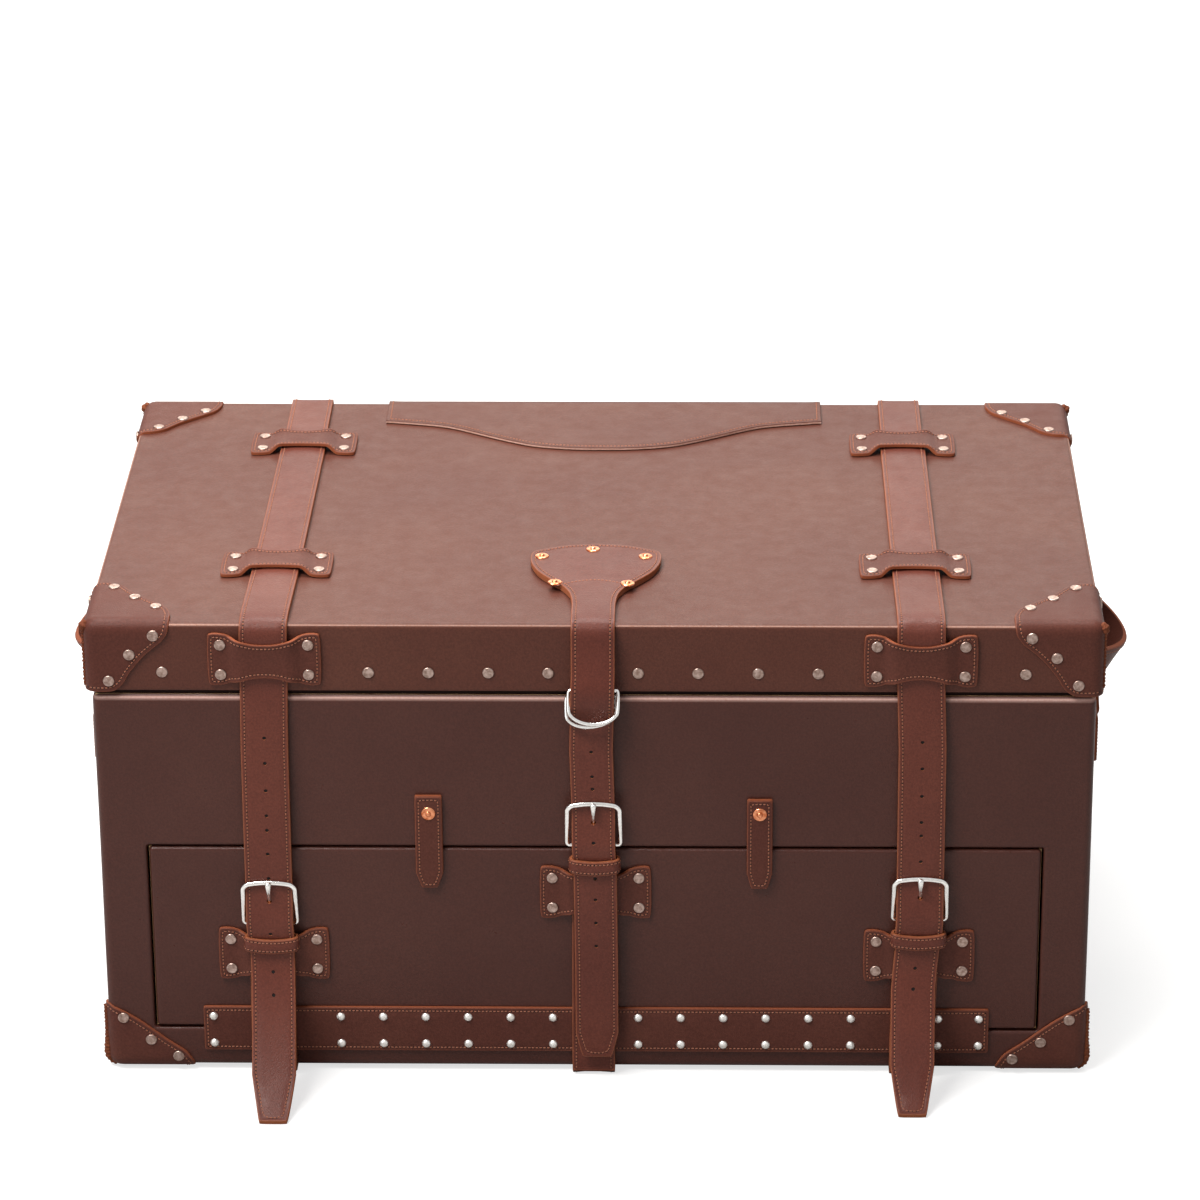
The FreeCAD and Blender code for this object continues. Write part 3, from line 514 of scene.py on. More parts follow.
def ribbon_track(path, step=1.0):
    """The middle line of a strap in the YZ plane, evenly spaced, with its outward normals."""
    p, s = even(path, step)
    t = np.gradient(p, axis=0)
    for _ in range(2):
        t[1:-1] = (t[:-2] + t[1:-1] * 2 + t[2:]) / 4
    t /= np.linalg.norm(t, axis=1)[:, None]
    n = np.stack([t[:, 1], -t[:, 0]], 1)
    return p, s, n


def run_length(path):
    """The length of a strap's middle line."""
    return ribbon_track(path)[1][-1]


def on_strap(path, thick, x, flip=1.0):
    """A strap's flat plane: u across, v along its middle line, h from its back face outward. x says where
    its middle lies, or pairs lengths along the strap with the x there."""
    p, s, n = ribbon_track(path)
    n = n * flip

    def place(u, v, h):
        c = [np.interp(v, s, p[:, k]) for k in (0, 1)]
        m = [np.interp(v, s, n[:, k]) for k in (0, 1)]
        off = h - thick / 2
        shift = np.interp(v, *zip(*x)) if isinstance(x, list) else x
        return np.stack([u + shift, c[0] + m[0] * off, c[1] + m[1] * off], 1)

    return place, s[-1]


def at_length(path, y=None, z=None):
    """How far along the line the first point at that y or z is."""
    p, s, _ = ribbon_track(path)
    k = np.argmin(abs(p[:, 0] - y)) if y is not None else np.argmin(abs(p[:, 1] - z))
    return s[k]


def mirrored(half):
    """The points of a half outline on the other side of u = 0, in the opposite order."""
    return np.stack([-half[::-1, 0], half[::-1, 1]], 1)


def quarter(cx, cy, r, a0, n):
    """A quarter circle from the angle a0 on, in n steps."""
    turns = [math.radians(a0 + 90 * i / n) for i in range(n + 1)]
    return [(cx + r * math.cos(a), cy + r * math.sin(a)) for a in turns]


def butts(length):
    """Says which points of a strap's flat cut lie on its two hidden butt ends."""
    return lambda m: (m[:, 1] < 0.2) | (m[:, 1] > length - 0.2)


def round_hole(u, v, r, n=12):
    """A circle of n points about (u, v)."""
    a = np.arange(n) * 2 * math.pi / n
    return np.stack([u + r * np.cos(a), v + r * np.sin(a)], 1)


def arc_yz(cy, cz, r, a0, a1, n=10):
    """An arc in the YZ plane from the angle a0 to a1, in n steps."""
    a = np.radians(np.linspace(a0, a1, n + 1))
    return np.stack([cy + r * np.cos(a), cz + r * np.sin(a)], 1)


def front_place(x0=0.0, z0=0.0, y0=YF, lift=None):
    """The front face: u to the right, v up, h towards the viewer."""
    def place(u, v, h):
        return np.stack([u + x0, y0 - h - np.zeros_like(u), v + z0], 1)
    return place


# Studs
studs = {}
PROFILES = {
    "cap": (((0, 0.95), (3.0, 0.95), (3.6, 1.0), (4.05, 1.2), (4.55, 1.18), (4.95, 0.8), (5.15, 0.3),
             (5.2, -0.3)), CAPS),
    "nail": (((0, 2.6), (1.2, 2.52), (2.3, 2.15), (3.2, 1.5), (3.8, 0.75), (4.0, 0.1), (4.0, -0.3)),
             PEWTER),
    "burr": (((0, 2.5), (1.1, 2.42), (1.9, 2.1), (2.4, 1.5), (2.5, 1.0), (2.9, 0.95), (4.6, 1.15),
              (5.6, 1.05),
              (6.2, 0.6), (6.4, 0.1), (6.4, -0.4)), COPPER),
}


def stud(body, kind, at, normal):
    """Notes one rivet or nail on a body, for build_studs."""
    studs.setdefault((body, kind), []).append((np.asarray(at, float), np.asarray(normal, float)))


def build_studs():
    """All rivets or nails of a kind on one body: a turned profile set along each one's own axis."""
    for (body, kind), spots in studs.items():
        profile, mat = PROFILES[kind]
        verts, faces = [], []
        seg = 20
        for at, m in spots:
            m = m / np.linalg.norm(m)
            side = np.cross(m, (0.0, 0.3, 1.0) if abs(m[2]) < 0.9 else (0.0, 1.0, 0.0))
            side /= np.linalg.norm(side)
            other = np.cross(m, side)
            k = len(verts)
            verts.append(at + m * profile[0][1])
            for r, h in profile[1:]:
                for i in range(seg):
                    a = 2 * math.pi * i / seg
                    verts.append(at + (side * math.cos(a) + other * math.sin(a)) * r + m * h)
            for i in range(seg):
                faces.append((k, k + 1 + i, k + 1 + (i + 1) % seg))
            for row in range(len(profile) - 2):
                q = k + 1 + row * seg
                for i in range(seg):
                    j = (i + 1) % seg
                    faces.append((q + i, q + seg + i, q + seg + j, q + j))
        make(kind + "s_on_" + body, verts, faces, [mat], rides=body)


# Boxes in leather
def waves(p, size=0.35):
    """Low swells of a hide glued on board: three sines of different length."""
    x, y, z = p[:, 0], p[:, 1], p[:, 2]
    w = np.sin(x / 71.0 + 1.3 * np.sin(z / 57.0)) + np.sin(y / 83.0 + x / 131.0 + 2.0)
    w += 0.7 * np.sin(z / 49.0 - x / 97.0 + y / 61.0)
    return size * w / 2.7


def rounded(points, half, z0, z1, r, h):
    """Points of a sharp box carried to the box with edges of radius r, raised by h. Only the end at z1
    counts as an edge when z0 is None."""
    low = np.array([r - half[0], r - half[1], -1e9 if z0 is None else z0 + r])
    high = np.array([half[0] - r, half[1] - r, 1e9 if z1 is None else z1 - r])
    q = np.clip(points, low, high)
    v = points - q
    n = v / np.maximum(np.linalg.norm(v, axis=1), 1e-9)[:, None]
    return q + n * (r + h[:, None])


def ticks(half, r, mid, fine=1.8):
    """Places along an edge, close together in the rounded ends."""
    ends = np.arange(0, r + fine / 2, fine)
    rest = np.linspace(-half + r + fine, half - r - fine, max(2, int(2 * half / mid)))
    return np.concatenate([-half + ends, rest, half - ends[::-1]])


class Shell:
    """Quads gathered from several faces of a box and welded where they meet."""

    def __init__(self):
        self.keys, self.points, self.heights, self.faces = {}, [], [], []

    def grid(self, a, b, put, skip=None, height=None):
        """Quads over the values a and b, placed by put. height raises each b, skip leaves quads out."""
        rows = []
        for i, u in enumerate(a):
            row = []
            for j, v in enumerate(b):
                p = put(u, v)
                h = 0.0 if height is None else height[j]
                key = tuple(np.round(p, 3)) + (round(h, 3),)
                if key not in self.keys:
                    self.keys[key] = len(self.points)
                    self.points.append(p)
                    self.heights.append(h)
                row.append(self.keys[key])
            rows.append(row)
        for i in range(len(a) - 1):
            for j in range(len(b) - 1):
                if skip and skip((a[i] + a[i + 1]) / 2, (b[j] + b[j + 1]) / 2):
                    continue
                f = (rows[i][j], rows[i + 1][j], rows[i + 1][j + 1], rows[i][j + 1])
                if len(set(f)) == 4:
                    self.faces.append(f)


def turn_out(verts, faces, centre):
    """Each face turned so that it looks away from the centre given for it."""
    verts = np.asarray(verts)
    out = []
    for f in faces:
        p = verts[list(f)]
        n = np.cross(p[1] - p[0], p[2] - p[0])
        out.append(f if np.dot(n, p.mean(0) - centre) > 0 else f[::-1])
    return out


def lid_skin():
    """Lid leather: a box with edges of 4.5 mm, swelling a little, turned under at its lower edge."""
    shell = Shell()
    r = EDGE
    xs, ys = ticks(XL, r, 22, r / 5), ticks(-YF, r, 22, r / 5)
    rows = [(-3.0, LID + 9.0), (-3.0, LID + 0.6), (-2.5, LID + 0.1), (-1.4, LID), (-0.5, LID + 0.5),
            (-0.1, LID + 1.4)]
    rows += [(0.0, LID + 3.0), (0.0, LID + 12), (0.0, LID + 24), (0.0, LID + 36), (0.0, LID + 48)]
    rows += [(0.0, CROWN - r + r * k / 5) for k in range(6)]
    hs, zs = [h for h, _ in rows], [z for _, z in rows]
    for sy in (-1, 1):
        shell.grid(xs, zs, lambda u, v: (u, sy * -YF, v), height=hs)
    for sx in (-1, 1):
        shell.grid(ys, zs, lambda u, v: (sx * XL, u, v), height=hs)
    shell.grid(xs, ys, lambda u, v: (u, v, CROWN))
    p = np.array(shell.points)
    h = np.array(shell.heights)
    calm = np.clip((p[:, 2] - LID) / 12.0, 0, 1)
    edge = np.minimum(XL - abs(p[:, 0]), -YF - abs(p[:, 1]))
    on_top = (p[:, 2] > CROWN - 0.01)
    bow = np.where(on_top, -0.6 * np.clip(edge / 60.0, 0, 1), 0.0)
    v = rounded(p, (XL, -YF), None, CROWN, r, h + waves(p, 0.3) * calm + bow)
    faces = turn_out(v, shell.faces, np.array([0, 0, LID + 20.0]))
    # Painted highlight: a pale band along the rounded top edges of the lid
    side = np.maximum(abs(v[:, 0]) - XL, abs(v[:, 1]) + YF)
    raw_and_highlight = 0.7 * np.clip(np.minimum(v[:, 2] - CROWN, side) / 1.1 + 2.0, 0, 1)
    obj = make("lid_hide", v, faces, [TOPHIDE], rides="lid", raw_and_highlight=raw_and_highlight, slot="leather_lid")
    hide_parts("lid_leather")


# The panel's opening in the case's leather
OPEN_L, OPEN_R, OPEN_LOW, OPEN_HIGH = -395.4, 395.4, 42.9, 225.5


def case_skin():
    """Case leather: a box with upright edges of 7 mm, rolled over at the rim and turned in at the panel."""
    shell = Shell()
    r, ease = 7.0, 3.0
    xs = np.unique(np.round(np.concatenate([ticks(XC, r, 24, 1.4), [OPEN_L - ease, OPEN_R + ease]]), 4))
    ys = ticks(-YF, r, 24, 1.4)
    rows = [(-4.9, TOP - 1.5), (-4.9, TOP + 0.2), (-4.2, TOP + 0.3), (-3.3, TOP + 0.05), (-2.4, TOP - 0.6)]
    rows += [(-1.6, TOP - 1.5), (-0.95, TOP - 2.65), (-0.42, TOP - 4.1), (-0.1, TOP - 5.8),
             (0.0, TOP - 7.8)]
    zs_mid = np.concatenate([np.linspace(TOP - 18, OPEN_HIGH + ease, 7),
                             np.linspace(OPEN_HIGH - 20, OPEN_LOW + 20, 7)])
    rows += [(0.0, z) for z in zs_mid] + [(0.0, OPEN_LOW - ease), (0.0, 24.0), (0.0, BASE + 7.0)]
    rows += [(-0.5, BASE + 4.4), (-2.05, BASE + 2.05), (-4.4, BASE + 0.5), (-7.0, BASE), (-12.0, BASE)]
    hs, zs = [h for h, _ in rows], [z for _, z in rows]

    def skip(u, v):
        return OPEN_L - ease < u < OPEN_R + ease and OPEN_LOW - ease < v < OPEN_HIGH + ease

    shell.grid(xs, zs, lambda u, v: (u, YF, v), skip=skip, height=hs)
    shell.grid(xs, zs, lambda u, v: (u, YB, v), height=hs)
    for sx in (-1, 1):
        shell.grid(ys, zs, lambda u, v: (sx * XC, u, v), height=hs)
    p = np.array(shell.points)
    h = np.array(shell.heights)
    flat = np.clip(np.minimum(TOP - p[:, 2], p[:, 2] - BASE) / 30.0, 0, 1)
    near = (p[:, 1] < YF + 1) * np.clip(1 - (np.maximum(abs(p[:, 0]) - OPEN_R - 40, 0)) / 30.0, 0, 1)
    near = near * (abs(p[:, 2] - 134) < 140)
    v = rounded(p, (XC, -YF), None, None, r, h + waves(p, 0.28) * flat * (1 - near))
    faces = turn_out(v, shell.faces, np.array([0, 0, 190.0]))
    verts = list(v)
    k = len(verts)
    verts += [(-XC + 12, YF + 12, BASE), (XC - 12, YF + 12, BASE), (XC - 12, YB - 12, BASE),
              (-XC + 12, YB - 12, BASE)]
    faces.append((k + 3, k + 2, k + 1, k))
    shape = [(ease, 0.0, 0.01)]
    for a in (20, 40, 60, 80):
        a = math.radians(a)
        shape.append((ease * (1 - math.sin(a)), ease * (1 - math.cos(a)) * 0.8, 3.0))
    shape += [(0.0, 3.2, 3.0), (0.0, 14.8, 3.0)]
    for grow, depth, r in shape:
        x0, x1, z0, z1 = OPEN_L - grow + r, OPEN_R + grow - r, OPEN_LOW - grow + r, OPEN_HIGH + grow - r
        loop = quarter(x1, z1, r, 0, 8) + quarter(x0, z1, r, 90, 8) + quarter(x0, z0, r, 180, 8)
        loop += quarter(x1, z0, r, 270, 8)
        verts += [(x, YF + depth, z) for x, z in loop]
    n = len(loop)
    k += 4
    for j in range(len(shape) - 1):
        for i in range(n):
            q = k + j * n
            i2 = (i + 1) % n
            faces.append((q + i, q + i2, q + n + i2, q + n + i))
    # Painted highlight: a thin pale band along the rounded rim of the case, just below the gap under the lid
    raw_and_highlight = 0.9 * np.exp(-((np.array(verts)[:, 2] - TOP + 2.9) / 1.2) ** 2)
    obj = make("case_hide", verts, faces, [CASE], rides="case", raw_and_highlight=raw_and_highlight, slot="leather_dark")
    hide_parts("case_leather")


def rounded_rect(w, h, r, n=6):
    """A rectangle w by h about the origin, its corners of radius r in n steps."""
    x, y = w / 2 - r, h / 2 - r
    return np.array(quarter(x, y, r, 0, n) + quarter(-x, y, r, 90, n) + quarter(-x, -y, r, 180, n)
                    + quarter(x, -y, r, 270, n))


def panel_skin():
    """Drop panel: its leather is pulled round the board, so all four edges are rounded at 3 mm."""
    mid = (OPEN_L + OPEN_R) / 2
    wide, tall, middle, thick = OPEN_R - OPEN_L - 4.4, 178.6, 134.2, 3.0

    def place(u, v, h):
        return np.stack([u + mid, YF + thick - h + waves(np.stack([u, v * 0, v], 1), 0.25), v + middle], 1)

    obj = hide("panel_hide", rounded_rect(wide, tall, 3.0), place, thick, CASE, seam=0, lines=[], ease=2.9,
               grid=16, step=8, back=False, rides="panel", slot="leather_dark")
    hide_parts("panel_leather")
    for key, value in (("raw_and_highlight", 0.0), ("rim", FAR)):
        data = np.full(len(obj.data.vertices), value, np.float32)
        obj.data.attributes[key].data.foreach_set("value", data)
    loop = rounded_rect(wide + 0.3, tall + 0.3, 3.0)
    n = len(loop)
    verts = [(x + mid, YF + depth, z + middle) for depth in (2.6, 14.6) for x, z in loop]
    faces = [(i, (i + 1) % n, n + (i + 1) % n, n + i) for i in range(n)]
    make("panel_edge", verts, faces, [CASE], rides="panel", slot="leather_dark")


# Keepers
def keeper_outline():
    """Bow tie 98.6 x 50.8 mm: straight ends, cut corners, and long sides in one hollow curve to the waist."""
    line = curve([(49.3, 0), (49.2, 12), (48.4, 23.0), (45.6, 25.2), (40.0, 25.4), (35.0, 24.6),
                  (29.0, 22.6),
                  (22.0, 20.0), (15.0, 17.8), (8.0, 16.4), (0, 16.0)], 4)
    right, left = line[:-1], mirrored(line)[:-1]
    return np.vstack([right, left, -right, -left])


def keeper(name, at, right, up, out, gap, body, tall=1.0):
    """A bow tie bridging a strap: flat under its rivets, arched between them, lifted at its free edges."""
    at, right, up, out = (np.asarray(v, float) for v in (at, right, up, out))

    def rise(u, v):
        far = np.clip((abs(u) - 20.5) / 12.0, 0, 1)
        arch = (1 + np.cos(np.pi * far)) / 2
        return gap * arch + 1.5 * arch * (np.clip(abs(v) / 17.0, 0, 1.2)) ** 3 + 0.15

    def place(u, v, h):
        lift = rise(u, v)
        slope = (rise(u + 0.5, v) - rise(u - 0.5, v))
        n = 1 / np.sqrt(1 + slope ** 2)
        lift = lift + h * n
        u = u - h * slope * n
        return at + u[:, None] * right + v[:, None] * up + lift[:, None] * out

    hide(name, keeper_outline() * (1.0, tall), place, KEEPER_T, PATCH, seam=3.4, grid=5.0, step=2.5,
         rides=body,
         slot="leather_dark")
    for i in (-1, 1):
        for j in (-1, 1):
            p, n = lay(place, [(i * 38.2, j * 14.6 * tall)], KEEPER_T)
            stud(body, "cap", p[0], n[0])


X, Y, Z = np.eye(3)


def keepers():
    """Two keepers over each side strap on the lid, one on its front, one on the panel under each buckle."""
    for name, (rear, fore, front, low) in KEEPER_X.items():
        keeper("keeper_rear_" + name, (rear, 152, CROWN), X, Y, Z, 4.4, "lid")
        keeper("keeper_fore_" + name, (fore, -136, CROWN), X, Y, Z, 4.4, "lid")
        keeper("keeper_lid_" + name, (front, YF, BASE + 402.6), X, Z, -Y, 4.4, "lid", tall=0.96)
        keeper("keeper_panel_" + name, (low, YF, BASE + 115.5), X, Z, -Y, 2.8, "panel")
    keeper("keeper_panel_centre", (0.9, YF, BASE + 177.5), X, Z, -Y, 2.8, "panel")
    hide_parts("lid_keepers")
    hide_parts("panel_keepers")


# Straps
def strap_outline(width, length, tip=0.0, tip_w=0.0):
    """A strap from v = 0 to its length; with a tip it narrows in two slants to a blunt end."""
    w, t = width / 2, tip_w / 2
    if not tip:
        return np.array([(w, 0), (w, length), (-w, length), (-w, 0)])
    end = curve([(w, length - tip), (w - (w - t) * 0.55, length - tip * 0.42), (t + 0.4, length - 2.5),
                 (t - 2.0, length - 0.3), (0, length)], 5)
    right = np.vstack([(w, 0), end])
    return np.vstack([right, mirrored(right)[1:]])


def side_lines(width, v0, v1, seam=3.6):
    """Two stitch lines along a strap, seam inside its edges."""
    return [[(s * (width / 2 - seam), v0), (s * (width / 2 - seam), v1)] for s in (-1, 1)]


def tip_line(half, length, tip, nose):
    """The stitch line of a free end: down one side, round its tip and back."""
    right = np.array([(half, 0), (half, length - tip - 1), (nose, length - 6.5), (4, length - 4.3)])
    return np.vstack([right, mirrored(right)])


def punched(path, heights, rise=0.0):
    """Holes that no prong uses, at heights over the case's foot."""
    return [round_hole(0, at_length(path, z=BASE + z + rise), 1.7) for z in heights]


def prong_hole(path, heel):
    """The hole that the prong comes through."""
    return [round_hole(0, at_length(path, z=heel + 24.5), 2.3)]


def over_heel(heel):
    """The end of a front strap's middle line: over the chape and the heel bar and down to the loop."""
    return [(-272.1, heel + 36), (-274.2, heel + 18), (-276.6, heel + 3), (-276.7, heel - 3),
            (-276.2, heel - 8), (-275.7, heel - 12), (TAIL_Y, heel - 18.5)]


def lid_run(heel):
    """Middle line of a side strap from under the rear keeper, over the front of the lid, to its loop."""
    line = [(152, CROWN + REST), (-120, CROWN + REST), (-190, CROWN + 2.5), (-235, CROWN + 3.4)]
    line += [(-252, CROWN + 3.0), (-262.0, CROWN + 0.6), (-266.4, CROWN - 5.5), (-267.2, CROWN - 16.0)]
    line += [(-266.6, CROWN - 34), (-265.4, 395)]
    line += [(-265.5, 378), (-266.2, 366), (-270.0, heel + 130), (-271.6, heel + 80), (-271.9, heel + 52)]
    return curve(line + over_heel(heel), 8)


# Heights of the holes over the case's foot, how far a side strap's free end stands off the case, the x of a
# free end at its start, lower down and at its tip, and of a front strap at its start, at its fore keeper and
# at two heights
HOLES = {
    "left": (324.3, 300.1, 274.8, 250.4, 236.6, 214.0, 189.3, 136.5),
    "right": (322.5, 297.4, 271.2, 246.8, 233.1, 208.5, 181.9, 136.2),
    "centre": (313.7, 290.5, 277.9, 227.0),
}
TAIL_HOLES = {"left": (104.1, 84.4), "right": (109.4, 90.9), "centre": (196.9, 176.1, 153.2, 130.2)}
REACH = {"left": 99.0, "right": 82.0}
TAIL_X = {"left": (-286.3, -285.5, -282.8), "right": (286.0, 282.2, 281.0), "centre": (0.8, 1.6, 1.6)}
RUN = {"left": (-280.5, -283.0, -286.0, -287.3), "right": (281.6, 282.7, 284.0, 286.6),
       "centre": (0.0, 0.0, 0.0, -2.0)}


def run_drift(side, path):
    """The middle of a front strap in x, from the lid through the buckle to the loop."""
    a, b, c, d = RUN[side]
    heel = HEEL[side]
    spots = [(0.0, a), (at_length(path, y=-136), b), (at_length(path, z=395), c),
             (at_length(path, z=325), d)]
    return spots + [(at_length(path, z=heel + 30), BUCKLE_X[side]),
                    (at_length(path, z=heel), BUCKLE_X[side]),
                    (run_length(path), TAIL_X[side][0])]


def side_straps():
    """Each side strap in three cuts: under the case, up its back and over the lid to the rear keeper; over
    the lid and down the front to the loop; and the free end, which leans out to the floor."""
    for side in ("left", "right"):
        heel, wide = HEEL[side], WIDE[side]
        back = [(YF - REST, 13.3), (YF - REST, 6.5)] + arc_yz(YF, BASE, REST, 180, 270, 5).tolist()
        back += arc_yz(YB, BASE, REST, 270, 360, 5).tolist() + [(YB + REST, CROWN - EDGE)]
        back += arc_yz(YB - EDGE, CROWN - EDGE, EDGE + REST, 0, 90).tolist() + [(152, CROWN + REST)]
        foot, end = FOOT_X[side], KEEPER_X[side][0]
        place, length = on_strap(back, STRAP_T, [(0, foot), (20, foot), (540, end), (1300, end)])
        piece = hide("strap_rear_" + side, strap_outline(SLIM, length), place, STRAP_T, STRAP, seam=3.6,
                     lines=side_lines(SLIM, 0, length), free=butts(length))
        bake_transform(piece)
        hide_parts("strap_" + side + "_girth")
        path = lid_run(heel)
        place, length = on_strap(path, STRAP_T, run_drift(side, path))
        piece = hide("strap_front_" + side, strap_outline(wide, length), place, STRAP_T, STRAP,
                     holes=prong_hole(path, heel), pits=punched(path, HOLES[side], 4.5),
                     lines=side_lines(wide, 0, length), seam=3.6, free=butts(length))
        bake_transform(piece)
        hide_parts("strap_" + side + "_top", "billet_" + side)
        bend, floor = 120.3, 2.3
        out, drop, tip = REACH[side] - 12.6, bend - floor, 46.0
        shares = [(0.03, 0.1), (0.1, 0.22), (0.2, 0.36), (0.33, 0.51), (0.48, 0.66), (0.64, 0.8),
                  (0.81, 0.92),
                  (0.95, 0.985), (1.0, 1.0)]
        path = [(TAIL_Y, heel - 18.5), (TAIL_Y, heel - 26), (TAIL_Y, bend)]
        path = curve(path + [(TAIL_Y - out * a, bend - drop * b) for a, b in shares], 6)
        near, low, end = TAIL_X[side]
        spots = [(0, near), (at_length(path, z=96), low), (run_length(path), end)]
        place, length = on_strap(path, STRAP_T, spots)
        piece = hide("strap_end_" + side, strap_outline(SLIM, length, tip, 24.5), place, STRAP_T, STRAP,
                     pits=punched(path, TAIL_HOLES[side]), seam=3.6,
                     lines=[tip_line(SLIM / 2 - 3.6, length, tip, 8.6)], free=lambda m: m[:, 1] < 0.2)
        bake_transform(piece)
        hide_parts("tail_" + side)


# Right half of the shield that the centre strap grows from
SHIELD = [(0, 0), (26, 3.4), (44, 10.5), (54, 16.0), (57.2, 21.5), (58, 31), (56.5, 45), (50.5, 62),
          (39.5, 79),
          (28.5, 93), (22.5, 106), (20.0, 118), (19.0, 132)]


def centre_strap():
    """Shield and strap in one cut: the shield lies doubled on the lid, the strap runs on to its loop."""
    heel = HEEL["centre"]
    line = [(-97, CROWN + 3.9), (-170, CROWN + 3.9), (-205, CROWN + 3.6), (-238, CROWN + 3.3),
            (-252, CROWN + 3.0)]
    line += [(-262.2, CROWN + 0.6), (-266.8, CROWN - 5.5), (-268.6, 424), (-271.2, 411), (-274.6, 397)]
    line += [(-277.9, 385.5), (-278.4, 376), (-276.6, 365), (-273.6, 355), (-272.4, 342),
             (-271.9, heel + 76)]
    path = curve(line + [(-271.9, heel + 50)] + over_heel(heel), 8)
    place, length = on_strap(path, STRAP_T, run_drift("centre", path))
    wide = WIDE["centre"]
    right = np.vstack([curve(SHIELD, 4), [(wide / 2, length)]])
    outline = np.vstack([right, mirrored(right)[:-1]])
    edge = inset(spaced(curve(SHIELD, 4), 2.0), 4.0, closed=False)
    edge = edge[edge[:, 0] > 1.0]
    one = np.vstack([edge, [(15.2, length)]])
    two = np.stack([-one[:, 0], one[:, 1]], 1)
    arc = curve([(-33, 94), (-17, 85), (0, 81), (17, 85), (33, 94)], 6)
    piece = hide("strap_front_centre", outline, place, STRAP_T, STRAP, holes=prong_hole(path, heel),
                 pits=punched(path, HOLES["centre"], 4.5), lines=[one, two, arc],
                 seam=3.8, grid=5.5, free=lambda m, n=length: m[:, 1] > n - 0.2)
    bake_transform(piece)
    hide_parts("strap_centre_top", "billet_centre")
    for u, v in ((-48, 29), (-3, 13), (44, 29), (-35, 87), (29, 89)):
        p, n = lay(place, [(u, v)], STRAP_T)
        stud("lid", "burr", p[0], n[0])

    def base(u, v, h):
        return np.stack([u, -97.4 - v, CROWN + 0.25 + h], 1)

    under = [(x * 0.985, min(y, 112) + 0.4) for x, y in SHIELD if y < 120]
    right = curve(under, 4)
    hide("shield_under", np.vstack([right, mirrored(right)[:-1]]), base, 1.6, STRAP, seam=0, lines=[],
         ease=0.5, rides="lid",
         slot="leather_strap")
    path = curve([(TAIL_Y, heel - 18.5), (-275.7, heel - 40), (TAIL_Y, 120), (TAIL_Y, 70.3),
                  (TAIL_Y, 22.8)], 8)
    length, tip = run_length(path), 24.0
    near, low, end = TAIL_X["centre"]
    place, length = on_strap(path, STRAP_T, [(0, near), (length * 0.5, low), (length, end)])
    piece = hide("strap_end_centre", strap_outline(wide, length, tip, 26.0), place, STRAP_T, STRAP,
                 pits=punched(path, TAIL_HOLES["centre"]), lines=[tip_line(15.2, length, tip, 9.6)],
                 seam=3.8, free=lambda m: m[:, 1] < 0.2)
    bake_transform(piece)
    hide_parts("tail_centre")
    back = [(137, 2.0), (YF, 2.0)] + arc_yz(YF, BASE, REST, 270, 180, 5).tolist() + [(YF - REST, 13.3)]
    place, length = on_strap(back, STRAP_T, FOOT_X["centre"], flip=-1.0)
    piece = hide("strap_under_centre", strap_outline(wide, length), place, STRAP_T, STRAP, rides="case",
                 lines=side_lines(wide, 2, length - 2), slot="leather_strap")
    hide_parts("strap_centre_girth")


def chapes():
    """Thin straps that hold the buckles: up from the under-strap, over the nailed strip, round the heel bar.
    The fold that holds the rings is made here too."""
    for side, x in BUCKLE_X.items():
        z = HEEL[side]
        wide = WIDE[side] if side == "centre" else 39.5
        path = [(-268.7, 4.8), (-268.7, 14), (-268.2, 21.5), (-267.6, 30), (-267.5, 66), (-266.0, 71),
                (-264.5, 77)]
        path += [(-264.5, 100), (-264.5, z - 8), (-265.2, z - 2), (-265.6, z)]
        path += arc_yz(-269.3, z, 3.7, 0, 180, 10)[1:].tolist() + [(-273.0, z - 5.4)]
        thick, foot = 2.4, FOOT_X[side]
        place, length = on_strap(path, thick, [(0, foot), (30, foot), (run_length(path), x)], flip=-1.0)
        a, b = at_length(path, z=z - 4) + 1.5, length - 2.2
        hole = spaced([(-3.3, a), (3.3, a), (3.3, b), (-3.3, b)], 2.5, True)
        piece = hide("chape_" + side, strap_outline(wide, length), place, thick, STRAP, holes=[hole],
                     seam=3.5,
                     lines=side_lines(wide, 2, length - 20, 3.5), ease=0.6)
        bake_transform(piece)
        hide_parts("chape_" + side)
    path = [(-265.0, 322.3), (-265.0, 376), (-265.6, 381.0), (-267.4, 383.6), (-270.5, 385.0),
            (-273.0, 384.2)]
    path += [(-274.8, 381.5), (-275.0, 376.5)]
    place, length = on_strap(curve(path, 4), 1.2, 0.0, flip=-1.0)
    piece = hide("ring_strap", strap_outline(34.0, length), place, 1.2, STRAP, ease=0.4, rides="case",
                 seam=0,
                 lines=[], slot="leather_strap")
    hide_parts("ring_chape")


